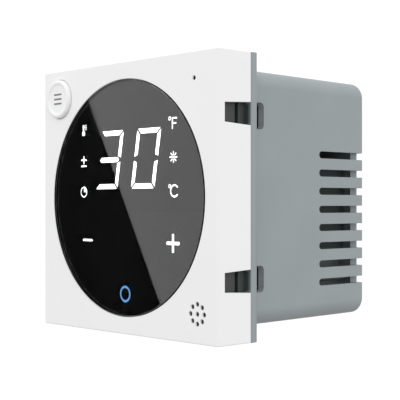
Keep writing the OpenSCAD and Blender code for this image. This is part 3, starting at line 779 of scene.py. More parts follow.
@dataclass(frozen=True)
class CircuitBoard:
    """Solder mask over copper tracks, plated vias and a copper fill."""

    name: str
    plane: Plane
    mask: tuple[float, float, float] = (0.012, 0.11, 0.05)
    track: tuple[float, float, float] = (0.025, 0.19, 0.085)
    metal: tuple[float, float, float] = (0.72, 0.66, 0.5)
    pitch: float = 1.27

    def make(self) -> bpy.types.Material:
        """Builds the material."""
        recipe = Recipe(self.name)
        place = recipe.place()
        axes = recipe.axes(place)
        u, v = (axes[i] / self.pitch for i in self.plane.value)
        across, along = u.part() - 0.5, v.part() - 0.5
        runs_v = recipe.chance(recipe.join(u.whole(), (v / 7).whole(), 3.0)) > 0.52
        runs_u = recipe.chance(recipe.join((u / 9).whole(), v.whole(), 8.0)) > 0.62
        tracks = ((abs(across) < 0.13) * runs_v).larger((abs(along) < 0.13) * runs_u)
        fill = recipe.noise(place, 0.09, 0.0) > 0.56
        copper = tracks.larger(fill * (1 - (abs(across) < 0.3) * runs_v))
        is_via = recipe.chance(recipe.join(u.whole(), v.whole(), 1.0)) > 0.93
        reach = across * across + along * along
        via = (reach < 0.05) * is_via
        hole = (reach < 0.012) * is_via
        colour = recipe.blend(copper, self.mask, self.track)
        colour = recipe.blend(via, colour, self.metal)
        colour = recipe.blend(hole, colour, (0.01, 0.01, 0.01))
        grain = recipe.noise(place, 3.0, 2.0)
        height = copper * 0.8 + via * 0.4 - hole * 1.0 + grain * 0.1
        return recipe.surface(Base_Color=colour, Roughness=grain * 0.1 + 0.28 - via * 0.05,
                              Metallic=via * 0.9 - hole * 0.9, Normal=recipe.bump(height, 0.035))


@dataclass(frozen=True)
class BareMetal:
    """Plated metal with drawn or turned scratches."""

    name: str
    colour: tuple[float, float, float]
    roughness: float
    streak: tuple[float, float, float] = (1, 0.1, 1)
    streak_per_mm: float = 5.0

    def make(self) -> bpy.types.Material:
        """Builds the material."""
        recipe = Recipe(self.name)
        place = recipe.place(self.streak)
        streaks = recipe.noise(place, self.streak_per_mm, 3.0)
        cloud = recipe.noise(recipe.place(), 0.5, 2.0)
        colour = recipe.blend(cloud, shade_of(self.colour, 0.86), shade_of(self.colour, 1.06))
        rough = streaks * 0.18 + cloud * 0.08 + (self.roughness - 0.1)
        return recipe.surface(Base_Color=colour, Metallic=1.0, Roughness=rough,
                              Normal=recipe.bump(streaks, 0.01))


@dataclass(frozen=True)
class SoftRubber:
    """Moulded rubber with a dusty bloom."""

    name: str
    colour: tuple[float, float, float]

    def make(self) -> bpy.types.Material:
        """Builds the material."""
        recipe = Recipe(self.name)
        place = recipe.place()
        bloom = recipe.noise(place, 0.8, 4.0)
        pores = recipe.noise(place, 12.0, 2.0)
        colour = recipe.blend(bloom.spread(0.5, 0.8, 0, 0.5), self.colour, shade_of(self.colour, 3))
        return recipe.surface(Base_Color=colour, Roughness=bloom * 0.15 + 0.62,
                              Normal=recipe.bump(pores, 0.015))


@dataclass(frozen=True)
class BandedSleeve:
    """A shrunk sleeve with one paler band down its length, and bare metal at one end."""

    name: str
    colour: tuple[float, float, float]
    band: tuple[float, float, float]
    end: tuple[float, float, float]
    centre: tuple[float, float]
    pitch: float
    end_y: float

    def make(self) -> bpy.types.Material:
        """Builds the material."""
        recipe = Recipe(self.name)
        x, y, z = recipe.axes(recipe.place(centre=(self.centre[0], self.end_y, self.centre[1])))
        in_band = (abs(z) < 1.1) * (abs(x) > self.pitch / 2 + 1)
        bare = y < 0.25
        wrinkle = recipe.noise(recipe.place((1, 0.2, 1)), 1.5, 3.0)
        colour = recipe.blend(in_band, self.colour, self.band)
        colour = recipe.blend(bare, colour, self.end)
        return recipe.surface(Base_Color=colour, Metallic=bare * 0.95,
                              Roughness=wrinkle * 0.15 + 0.25,
                              Normal=recipe.bump(wrinkle, 0.03))


class Finishes:
    """Every finish of the thermostat, made once, by name."""

    WHITE = (0.86, 0.86, 0.865)

    def __init__(self) -> None:
        """Makes all the materials."""
        button = middle_mm("mode_button")
        caps_low, _ = box_mm("smoothing_capacitors")
        caps = middle_mm("smoothing_capacitors")
        makers = [
            MouldedPlastic("white_plastic", self.WHITE, 0.42, mottle=0.006),
            PrintedCap("printed_button", self.WHITE, 0.38, (0.2, 0.2, 0.21),
                                         (button.x, button.z)),
            MouldedPlastic("grey_plastic", (0.285, 0.318, 0.33), 0.46, 6.0, 0.01, 0.03),
            # Housing cover: the housing's grey darkened to stand in for the rim in deep shade
            # behind the notches; painted shade.
            MouldedPlastic("cover_plastic", (0.052, 0.061, 0.061), 0.5, 6.0, 0.01, 0.04, 0.3),
            # Display carrier: near-black neutral grey standing in for the white frame's inner wall
            # in deep shade behind the notches; painted shade.
            MouldedPlastic("carrier_plastic", (0.058, 0.058, 0.058), 0.5, 6.0, 0.01, 0.04, 0.3),
            CoverGlass("display_glass", 1.5),
            PrintedFilm("mask_ink", (0.009, 0.009, 0.0092), 0.6),
            LitPlate("lit_white", (1, 1, 1), (0.92, 0.94, 0.95), 2.4),
            LitPlate("lit_blue", (0.085, 0.28, 0.62), (0.07, 0.24, 0.55), 1.0, (0.1, 0.2, 0.35)),
            CircuitBoard("board_green", Plane.XZ),
            CircuitBoard("riser_green", Plane.YZ),
            MouldedPlastic("led_package", (0.8, 0.78, 0.66), 0.3, 9.0, 0.004),
            BareMetal("spring_steel", (0.6, 0.6, 0.62), 0.25),
            BareMetal("zinc_steel", (0.66, 0.67, 0.69), 0.3),
            BareMetal("tinned_metal", (0.72, 0.72, 0.72), 0.35, (1, 1, 0.15)),
            BareMetal("brass", (0.78, 0.56, 0.25), 0.3),
            MouldedPlastic("black_plastic", (0.018, 0.018, 0.02), 0.45, 8.0, 0.008, 0.1),
            SoftRubber("black_rubber", (0.02, 0.02, 0.02)),
            MouldedPlastic("sensor_bead", (0.14, 0.05, 0.02), 0.2, 4.0, 0.006, 0.1),
            # Converter potting: a dark potted part whose greenish tint and tone copy the housing in
            # shade seen through the vents; partly real colour, partly painted shade.
            MouldedPlastic("potting_grey", (0.048, 0.06, 0.06), 0.5, 2.0, 0.03, 0.12),
            MouldedPlastic("relay_blue", (0.02, 0.09, 0.28), 0.3, 6.0, 0.008, 0.04),
            MouldedPlastic("fuse_ceramic", (0.68, 0.62, 0.5), 0.35, 5.0, 0.01, 0.04),
            MouldedPlastic("yellow_plastic", (0.62, 0.43, 0.05), 0.32, 6.0, 0.008, 0.04),
            BandedSleeve("capacitor_sleeve", (0.012, 0.012, 0.03), (0.4, 0.42, 0.45),
                                             (0.75, 0.75, 0.76), (caps.x, caps.z), 9.0, caps_low.y),
            MouldedPlastic("varistor_coat", (0.02, 0.13, 0.27), 0.25, 1.5, 0.06, 0.08),
            MouldedPlastic("terminal_green", (0.02, 0.19, 0.09), 0.38, 6.0, 0.008, 0.04),
        ]
        self.made = {maker.name: maker.make() for maker in makers}

    def __getitem__(self, key: str) -> bpy.types.Material:
        """Gives a material by its key."""
        return self.made[key]


@dataclass
class Assembly:
    """A sub-assembly on one body, which dresses its pieces with the shared finishes."""

    finishes: Finishes
    body: ClassVar[Body] = Body.COVER

    def dress(self, piece: Piece, finish: str, slot: str, node: str) -> Piece:
        """Gives a new piece its finish and its body, and hides the CAD node that it stands for.

        Args:
            piece: The new piece.
            finish: Its finish.
            slot: The record's material slot; not used.
            node: The CAD node that it replaces.

        Returns:
            The same piece.
        """
        piece.data.materials.clear()
        piece.data.materials.append(self.finishes[finish])
        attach(piece, self.body.value)
        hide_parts(node)
        log.info("%s: %d faces on %s, finish %s", piece.name, len(piece.data.polygons),
                 self.body.value, finish)
        return piece

    def keep(self, finish: str, *nodes: str) -> None:
        """Gives CAD nodes that keep their shape one finish."""
        for node in nodes:
            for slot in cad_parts[node].material_slots:
                slot.material = self.finishes[finish]
            log.info("%s: CAD shape, finish %s", node, finish)

    def soften(self, node: str, finish: str, radius: float) -> None:
        """Puts a copy with rounded edges in a CAD node's place."""
        self.dress(Bench.softened(node, f"{node}_piece", radius), finish, finish, node)


# ---------------------------------------------------------------- front cover


@dataclass
class FrontFrame(Assembly):
    """The white square frame: face, side walls, display seat, bosses, notches and snap arms."""

    face_wall: float = 2.2
    side_wall: float = 1.8
    frame_depth: float = 13.5
    edge_radius: float = 0.35
    inner_edge: float = 0.5
    lip: float = 0.25
    small_lip: float = 0.14
    button_lip: float = 0.2
    glass_gap: float = 0.2
    ledge: float = 2.0
    seat_wall: float = 2.0
    seat_behind_film: float = 1.5
    film: float = 0.1
    web: float = 0.6
    boss_x: float = 22.0
    boss_r: float = 2.4
    boss_gap: float = 0.2
    boss_hole_r: float = 1.1
    button_gap: float = 0.15
    mic_hole_r: float = 0.7
    speaker_hole_r: float = 0.75
    speaker_ring_r: float = 2.9
    notch_start: float = 2.7
    notch_front_h: float = 5.75
    notch_rear_h: float = 6.9
    notch_z: float = 24.7
    notch_step: float = 0.6
    arm_t: float = 1.2
    arm_w: float = 6.0
    arm_outer: float = 35.3
    arm_edge: float = 0.35
    nib: float = 0.7
    nib_start: float = 1.0
    nib_inset: float = 0.1
    nib_edge: float = 0.2
    speaker_gap: float = 0.2
    boot_gap: float = 0.1
    sunk: float = 0.5

    def __post_init__(self) -> None:
        """Reads the frame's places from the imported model."""
        low, high = box_mm("front_frame")
        self.half = high.x
        self.front = low.y
        self.arm_end = high.y
        self.rear = self.front + self.frame_depth
        glass_high = box_mm("display_glass")[1]
        self.opening_r = glass_high.x + self.glass_gap
        self.seat_y = glass_high.y + self.film
        self.seat_end = self.seat_y + self.seat_behind_film
        self.inner = self.half - self.side_wall
        self.notch_x = self.inner - self.notch_step
        self.board_y = box_mm("display_board")[0].y

    def shell(self) -> Piece:
        """Models the square tray with rounded outer edges."""
        tray = Bench.block("front_frame_moulding", (-self.half, self.front, -self.half),
                           (self.half, self.rear, self.half))
        Bench.round_edges(tray, self.edge_radius, 5, either(along_y, at_depth(self.front)))
        Bench.round_edges(tray, self.small_lip, 2, at_depth(self.rear))
        hollow = Bench.block("hollow", (-self.inner, self.front + self.face_wall, -self.inner),
                             (self.inner, self.rear + 1, self.inner))
        Bench.round_edges(hollow, self.inner_edge, 3,
                          either(along_y, at_depth(self.front + self.face_wall)))
        return Bench.shape(tray, Shape.CUT, [hollow])

    def boss_places(self) -> list[tuple[float, float]]:
        """Gives X and Z of the four screw bosses."""
        reach = self.opening_r + self.seat_wall + self.boss_r + self.boss_gap
        z = math.sqrt(reach ** 2 - self.boss_x ** 2)
        return [(sx * self.boss_x, sz * z) for sx, sz in CORNERS]

    def snap_arm(self) -> Piece:
        """Models one snap arm with its sloped nib, in the upper right quarter."""
        outer = self.arm_outer
        low_z, high_z = self.notch_z - self.arm_w / 2, self.notch_z + self.arm_w / 2
        arm = Bench.block("snap_arm", (outer - self.arm_t, self.front + self.face_wall - self.sunk,
                                       low_z),
                          (outer, self.arm_end, high_z))
        Bench.round_edges(arm, self.arm_edge, 3, at_depth(self.arm_end))
        nib = Bench.block("nib", (outer - 0.3, self.nib_start, low_z + self.nib_inset),
                          (outer + self.nib, self.arm_end - 1, high_z - self.nib_inset))
        Bench.pick(nib, Element.EDGE, lambda a,
                   b: a.x > outer and b.x > outer and a.y > 2 and b.y > 2)
        bpy.ops.transform.translate(value=(-self.nib, 0, 0))
        bpy.ops.object.mode_set(mode="OBJECT")
        Bench.round_edges(nib, self.nib_edge, 2, lambda a,
                          b: a.x > outer + 0.3 and b.x > outer + 0.3)
        return Bench.shape(arm, Shape.JOIN, [nib])

    def additions(self) -> list[Piece]:
        """Models everything that stands on the tray's inside."""
        seat = Bench.rod("seat", (0, 0), self.front + 0.8, self.seat_end,
                         self.opening_r + self.seat_wall, 128)
        bosses = [Bench.rod(f"boss_{i}", place, self.front + self.face_wall - self.sunk,
                            self.board_y, self.boss_r)
                  for i, place in enumerate(self.boss_places())]
        return [seat, Bench.gather("bosses", bosses), Bench.four_ways(self.snap_arm())]

    def display_cutter(self) -> Piece:
        """Models what is taken away for the glass, with the seat's step and a rounded front lip."""
        rings = rounded_lip(self.opening_r, self.front, self.lip)
        rings += [(self.opening_r, self.seat_y), (self.opening_r - self.ledge, self.seat_y),
                  (self.opening_r - self.ledge, self.seat_end + 1)]
        return Bench.turned("display_cutter", (0, 0), rings, 192)

    def hole_cutters(self) -> list[Piece]:
        """Models the cutters of the button, microphone, speaker and boss holes."""
        button = middle_mm("tact_switch")
        speaker = middle_mm("speaker")
        mic = middle_mm("microphone")
        spots = [(speaker.x, speaker.z)]
        spots += [(speaker.x + self.speaker_ring_r * math.cos(i * math.pi / 4),
                   speaker.z + self.speaker_ring_r * math.sin(i * math.pi / 4)) for i in range(8)]
        holes = [(spot, self.speaker_hole_r, self.small_lip, 32) for spot in spots]
        holes.append(((mic.x, mic.z), self.mic_hole_r, self.small_lip, 32))
        holes.append(((button.x, button.z), ModeButton.radius + self.button_gap, self.button_lip,
                      96))
        cutters = []
        for place, radius, lip, sides in holes:
            rings = rounded_lip(radius, self.front, lip, 3)
            rings.append((radius, self.front + self.face_wall + 1))
            cutters.append(Bench.turned("hole", place, rings, sides))
        cutters += [Bench.rod("boss_hole", place, self.front + self.face_wall + self.sunk,
                              self.board_y + 1,
                              self.boss_hole_r, 24) for place in self.boss_places()]
        cutters = [Bench.gather("hole_cutters", cutters)]
        for node, clear in (("speaker", self.speaker_gap), ("microphone_boot", self.boot_gap)):
            middle, edge = middle_mm(node), box_mm(node)[1].x
            cutters.append(Bench.rod("thin_face", (middle.x, middle.z), self.front + self.web,
                                     self.front + self.face_wall + 1, edge - middle.x + clear, 64))
        return cutters

    def notch_cutters(self) -> Piece:
        """Models the four tapered pry notches' cutters."""
        y0, y1 = self.front + self.notch_start, self.rear + 1
        slope = (self.notch_rear_h - self.notch_front_h) / 2 / (self.rear - y0)
        rear_half = self.notch_front_h / 2 + slope * (y1 - y0)
        notch = Bench.block("notch", (self.notch_x, y0, self.notch_z - rear_half),
                            (self.half + 2, y1, self.notch_z + rear_half))
        Bench.taper(notch, y0, (1, self.notch_front_h / 2 / rear_half),
                    (self.notch_x, self.notch_z))
        return Bench.four_ways(notch)

    def build(self) -> Piece:
        """Models, dresses and reports the frame.

        Returns:
            The finished piece.
        """
        tray = self.shell()
        Bench.shape(tray, Shape.JOIN, self.additions())
        Bench.shape(tray, Shape.CUT,
                    [self.display_cutter(), *self.hole_cutters(), self.notch_cutters()])
        Bench.deliver(tray, "front_frame_moulding")
        return self.dress(tray, "white_plastic", "white_plastic", "front_frame")


@dataclass
class ModeButton(Assembly):
    """The round mode button with a raised rim, a shallow dish, two ears and a stem."""

    body: ClassVar[Body] = Body.BUTTON
    radius: ClassVar[float] = 6.5
    dish: float = 0.33
    dish_r: float = 4.5
    rim_r: float = 5.55
    stem_r: float = 2.0
    ear_r: float = 7.6
    ear_w: float = 2.4
    ear_t: float = 0.9
    ear_from_face: float = 2.3
    ear_sunk: float = 0.4
    crown: float = 0.85
    steps: int = 6

    def build(self) -> Piece:
        """Models, dresses and reports the button.

        Returns:
            The finished piece.
        """
        low, high = box_mm("mode_button")
        switch = middle_mm("tact_switch")
        centre = (switch.x, switch.z)
        ear_y = box_mm("front_frame")[0].y + self.ear_from_face
        front = low.y
        rings = [(self.dish_r * 0.5, front + self.dish), (self.dish_r, front + self.dish)]
        for step in range(1, self.steps + 1):
            turn = math.pi * step / self.steps
            rings.append((self.dish_r + (self.rim_r - self.dish_r) * step / self.steps,
                          front + self.dish * (1 + math.cos(turn)) / 2))
        for step in range(1, self.steps + 1):
            turn = QUARTER_TURN * step / self.steps
            rings.append((self.rim_r + (self.radius - self.rim_r) * math.sin(turn),
                          front + self.crown * (1 - math.cos(turn))))
        rings += [(self.radius, ear_y + NEAR), (self.stem_r, ear_y + NEAR), (self.stem_r, high.y)]
        cap = Bench.turned("mode_button_cap", centre, rings, 128)
        ears = Bench.rod("ears", centre, ear_y - self.ear_sunk, ear_y + self.ear_t, self.ear_r, 64)
        bar = Bench.block("bar", (-self.ear_r - 1, ear_y - 1, -self.ear_w / 2),
                          (self.ear_r + 1, ear_y + 2, self.ear_w / 2))
        bpy.ops.object.mode_set(mode="EDIT")
        bpy.ops.mesh.select_all(action="SELECT")
        bpy.ops.transform.rotate(value=math.pi / 4, orient_axis="Y", center_override=(0, 0, 0))
        bpy.ops.transform.translate(value=(centre[0], 0, centre[1]))
        bpy.ops.object.mode_set(mode="OBJECT")
        Bench.shape(ears, Shape.KEEP, [bar])
        Bench.shape(cap, Shape.JOIN, [ears])
        Bench.deliver(cap, "mode_button_cap", 40)
        return self.dress(cap, "printed_button", "white_plastic", "mode_button")


@dataclass
class DisplayStack(Assembly):
    """The glass with its ground edge, the printed film, the lit plates, springs and baffle."""

    ground_edge: float = 0.3
    rear_chamfer: float = 0.15
    clear_behind: float = 0.02
    painted_slope: float = 0.6

    def glass(self) -> Piece:
        """Models the glass disc with its side painted black, clear of the film behind it."""
        low, high = box_mm("display_glass")
        front, rear = low.y, high.y - self.clear_behind
        edge = self.ground_edge
        rings = [(high.x - edge + edge * math.sin(QUARTER_TURN * i / 4),
                  front + edge - edge * math.cos(QUARTER_TURN * i / 4)) for i in range(5)]
        rings += [(high.x, rear - self.rear_chamfer), (high.x - self.rear_chamfer, rear)]
        disc = Bench.turned("display_glass_disc", (0, 0), rings, 192)
        Bench.deliver(disc, "display_glass_disc")
        self.dress(disc, "display_glass", "display_glass", "display_glass")
        disc.data.materials.append(self.finishes["mask_ink"])
        for face in disc.data.polygons:
            face.material_index = int(abs(face.normal.y) < self.painted_slope)
        return disc

    def build(self) -> None:
        """Models the glass and dresses the rest of the stack."""
        self.glass()
        self.keep("mask_ink", "display_mask")
        self.keep("lit_white", "digit_diffuser", "left_icon_diffuser", "right_icon_diffuser",
                  "key_diffusers")
        self.keep("lit_blue", "power_ring_diffuser")
        self.keep("white_plastic", "light_baffle")
        self.keep("spring_steel", "touch_springs")
        self.keep("led_package", "display_leds")


class CoverElectronics(Assembly):
    """The carrier, the display board with what is soldered to it, and its screws."""

    def build(self) -> None:
        """Dresses the board's parts and softens those that show."""
        self.keep("board_green", "display_board")
        for node, finish, radius in (
            # The carrier's near-black grey is painted shade for the frame's inner wall behind the
            # notches.
            ("display_carrier", "carrier_plastic", 0.2),
            ("display_board_screws", "zinc_steel", 0.12),
            ("radio_module", "tinned_metal", 0.15),
            ("controller_chip", "black_plastic", 0.12),
            ("header_socket", "black_plastic", 0.15),
            ("tact_switch", "black_plastic", 0.15),
            ("microphone", "tinned_metal", 0.1),
            ("speaker", "black_plastic", 0.2),
        ):
            self.soften(node, finish, radius)
        self.keep("black_plastic", "tact_plunger")
        self.keep("black_rubber", "microphone_boot")
        self.keep("sensor_bead", "temperature_sensor")


# ---------------------------------------------------------------- rear housing


@dataclass
class RearHousing(Assembly):
    """The grey wall housing: flange, deep box, latch windows, channels and vents."""

    body: ClassVar[Body] = Body.HOUSING
    flange_t: float = 3.1
    flange_corner: float = 0.3
    flange_rear_edge: float = 1.2
    box_w: float = 78.0
    draft: float = 0.5
    wall: float = 2.4
    rear_wall: float = 2.7
    fillet: float = 5.3
    rear_fillet: float = 1.3
    cavity_r: float = 3.0
    channel_w: float = 13.0
    channel_from_screw: float = 4.0
    channel_depth: float = 28.0
    channel_wall: float = 1.8
    box_sunk: float = 2.17
    flange_front_edge: float = 0.2
    post_r: float = 2.4
    post_inset: float = 4.5
    post_zs: tuple[float, float] = (23.0, -25.0)
    cover_screw_inset: float = 3.4
    pilot_depth: float = 8.0
    block_gap: float = 0.3
    block_rise: float = 0.8
    corner_block: float = 7.0
    corner_depth: float = 12.0
    screw_spacing: float = 60.3
    screw_r: float = 2.1
    small_screw_r: float = 1.1
    window_x: float = 33.8
    window_h: float = 8.1
    window_len: float = 6.6
    window_r: float = 1.4
    arm_half: float = 3.3
    arm_reach: float = 36.3
    latch_z: float = 24.7
    bay_wall: float = 1.8
    bay_start: float = 3.4
    bay_beside_blocks: float = 2.4
    bay_above_blocks: float = 1.8
    vent_count: int = 8
    vent_pitch: float = 5.85
    vent_h: float = 2.3
    vent_len: float = 23.0
    vent_z: float = -6.6
    vent_wrap: float = 3.5

    def __post_init__(self) -> None:
        """Reads the housing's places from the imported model."""
        high = box_mm("rear_housing")[1]
        self.flange_half = high.x
        self.rear = high.y
        self.half = self.box_w / 2
        self.cavity_half = self.half - self.wall
        self.channel_floor = self.screw_spacing / 2 - self.channel_from_screw
        self.board_rear = box_mm("power_board")[1].y
        self.post_x = self.cavity_half - self.post_inset
        block_low, block_high = box_mm("terminal_block_right")
        self.block_low, self.block_high = block_low, block_high
        self.bay_half = block_high.x + self.bay_beside_blocks
        self.bay_top = block_high.z + self.bay_above_blocks
        self.bay_front = self.board_rear + self.bay_start

    def solid(self) -> Piece:
        """Models the outside: the box and the flange."""
        box = Bench.block("rear_housing_moulding", (-self.half, -self.box_sunk, -self.half),
                          (self.half, self.rear, self.half))
        Bench.taper(box, self.rear, ((self.half - self.draft) / self.half,) * 2, (0, 0))
        Bench.round_edges(box, self.fillet, 10, lambda a, b: abs(a.y - b.y) > 1)
        Bench.round_edges(box, self.rear_fillet, 5, at_depth(self.rear))
        half = self.flange_half
        flange = Bench.block("flange", (-half, -self.flange_t, -half), (half, 0, half))
        Bench.round_edges(flange, self.flange_rear_edge, 5, at_depth(0))
        Bench.round_edges(flange, self.flange_corner, 3, along_y)
        Bench.round_edges(flange, self.flange_front_edge, 2, at_depth(-self.flange_t))
        return Bench.shape(box, Shape.JOIN, [flange])

    def channel(self, grow: float, front: float, rear: float) -> Piece:
        """Models the two screw channels' space, grown by a wall."""
        half = self.channel_w / 2 + grow
        upper = Bench.block("channel", (-half, front, self.channel_floor - grow),
                            (half, rear, self.box_w))
        return Bench.gather("channels", [upper, Bench.mirrored(upper, 2)])

    def bay(self, grow: float) -> Piece:
        """Models the wire bay's space, grown by a wall."""
        return Bench.block("bay", (-self.bay_half - grow, self.bay_front - grow, -self.box_w),
                           (self.bay_half + grow, self.rear + 1, self.bay_top + grow))

    def post_places(self) -> list[tuple[float, float]]:
        """Gives X and Z of the four board posts."""
        return [(side * self.post_x, z) for side in SIGNS for z in self.post_zs]

    def cavity(self) -> Piece:
        """Models the clear space inside, with channels, corner blocks, bay and posts left solid."""
        half, rear = self.cavity_half, self.rear - self.rear_wall
        space = Bench.block("cavity", (-half, -self.flange_t - 1, -half), (half, rear, half))
        Bench.round_edges(space, self.cavity_r, 5, either(along_y, at_depth(rear)))
        inner = half - self.corner_block
        corner = Bench.block("corner", (inner, -self.flange_t - 2, inner),
                             (half + 1, self.corner_depth, half + 1))
        kept = [Bench.four_ways(corner),
                self.channel(self.channel_wall, -self.flange_t - 2,
                             self.channel_depth + self.channel_wall),
                self.bay(self.bay_wall)]
        posts = [Bench.rod("post", place, self.board_rear, self.rear, self.post_r,
                           32) for place in self.post_places()]
        return Bench.shape(space, Shape.CUT, [*kept, Bench.gather("posts", posts)])

    def windows(self) -> Piece:
        """Models the four latch windows' cutters, each with its arm's way in."""
        z = self.latch_z
        outer = Bench.block("window", (self.window_x, 0.02, z - self.window_h / 2),
                            (self.box_w, self.window_len, z + self.window_h / 2))
        rear = self.window_len
        Bench.round_edges(outer, self.window_r, 5,
                          lambda a, b: at_depth(rear)(a, b) and abs(a.z - b.z) < NEAR)
        inner = Bench.block("way_in", (self.window_x, -self.flange_t - 1, z - self.arm_half),
                            (self.arm_reach, self.window_len - self.window_r, z + self.arm_half))
        return Bench.four_ways(Bench.shape(outer, Shape.JOIN, [inner]))

    def vents(self) -> Piece:
        """Models the sixteen vent slots' cutters, round at the front end."""
        top = self.vent_z + (self.vent_count - 1) / 2 * self.vent_pitch
        front = self.rear - self.vent_len
        low_z = top - self.vent_h / 2
        slot = Bench.block("vent", (self.half - self.vent_wrap, front, low_z),
                           (self.box_w, self.rear + 1, low_z + self.vent_h))
        Bench.round_edges(slot, self.vent_h / 2 * 0.98, 6,
                          lambda a, b: at_depth(front)(a, b) and abs(a.z - b.z) < NEAR)
        slots = [slot] + [Bench.copy_at(slot, (0, 0, -i * self.vent_pitch))
                          for i in range(1, self.vent_count)]
        right = Bench.gather("vents", slots)
        return Bench.gather("vents", [right, Bench.mirrored(right, 0)])

    def small_holes(self) -> Piece:
        """Models the wall screw holes' and the small screws' cutters."""
        z = self.screw_spacing / 2
        holes = [Bench.rod("wall_hole", (0, side * z), -self.flange_t - 1, 1, self.screw_r,
                           48) for side in SIGNS]
        inset = self.cavity_half - self.cover_screw_inset
        holes += [Bench.rod("cover_hole", (sx * inset, sz * inset), -self.flange_t - 1,
                            self.pilot_depth - self.flange_t,
                            self.small_screw_r, 24) for sx, sz in CORNERS]
        holes += [Bench.rod("post_hole", place, self.board_rear - 1,
                            self.board_rear + self.pilot_depth, self.small_screw_r, 24)
                  for place in self.post_places()]
        return Bench.gather("holes", holes)

    def build(self) -> Piece:
        """Models, dresses and reports the housing.

        Returns:
            The finished piece.
        """
        gap = self.block_gap
        block_way = Bench.block("block_way",
                                (self.block_low.x - gap, self.board_rear, self.block_low.z - gap),
                                (self.block_high.x + gap, self.bay_front + 1,
                                 self.block_high.z + self.block_rise + gap))
        block_ways = Bench.gather("block_ways", [block_way, Bench.mirrored(block_way, 0)])
        body = self.solid()
        Bench.shape(body, Shape.CUT,
                    [self.cavity(), self.channel(0, 0.02, self.channel_depth), self.bay(0),
                                      block_ways, self.windows(), self.vents(),
                                      self.small_holes()])
        Bench.deliver(body, "rear_housing_moulding")
        return self.dress(body, "grey_plastic", "grey_plastic", "rear_housing")


class HousingInside(Assembly):
    """The inner cover, the power board and what is soldered to it."""

    body: ClassVar[Body] = Body.HOUSING

    def build(self) -> None:
        """Dresses the boards and softens the parts that show."""
        self.keep("board_green", "power_board")
        self.keep("riser_green", "riser_board")
        for node, finish, radius in (
            # The housing cover's near-black grey is painted shade for the rim behind the notches.
            ("housing_cover", "cover_plastic", 0.2),
            ("cover_screws", "zinc_steel", 0.12),
            ("power_board_screws", "zinc_steel", 0.12),
            # The converter's dark greenish colour is partly painted shade for the view through the
            # vents.
            ("converter_module", "potting_grey", 0.4),
            ("relay_1", "relay_blue", 0.5),
            ("relay_2", "relay_blue", 0.5),
            ("safety_capacitor", "yellow_plastic", 0.4),
            ("smoothing_capacitors", "capacitor_sleeve", 0.35),
        ):
            self.soften(node, finish, radius)
        self.keep("brass", "pin_header")
        self.keep("fuse_ceramic", "fuse")
        self.keep("varistor_coat", "varistor")


class Terminals(Assembly):
    """The two terminal blocks with their contacts, screws and clamps."""

    body: ClassVar[Body] = Body.HOUSING
    count: ClassVar[int] = 6

    def build(self) -> None:
        """Dresses the blocks and softens what shows through the wire bay."""
        for side in ("left", "right"):
            self.soften(f"terminal_block_{side}", "terminal_green", 0.2)
        self.keep("tinned_metal", "terminal_contacts")
        for index in range(1, self.count + 1):
            self.keep("zinc_steel", f"terminal_screw_{index}", f"terminal_clamp_{index}")


# ---------------------------------------------------------------- studio


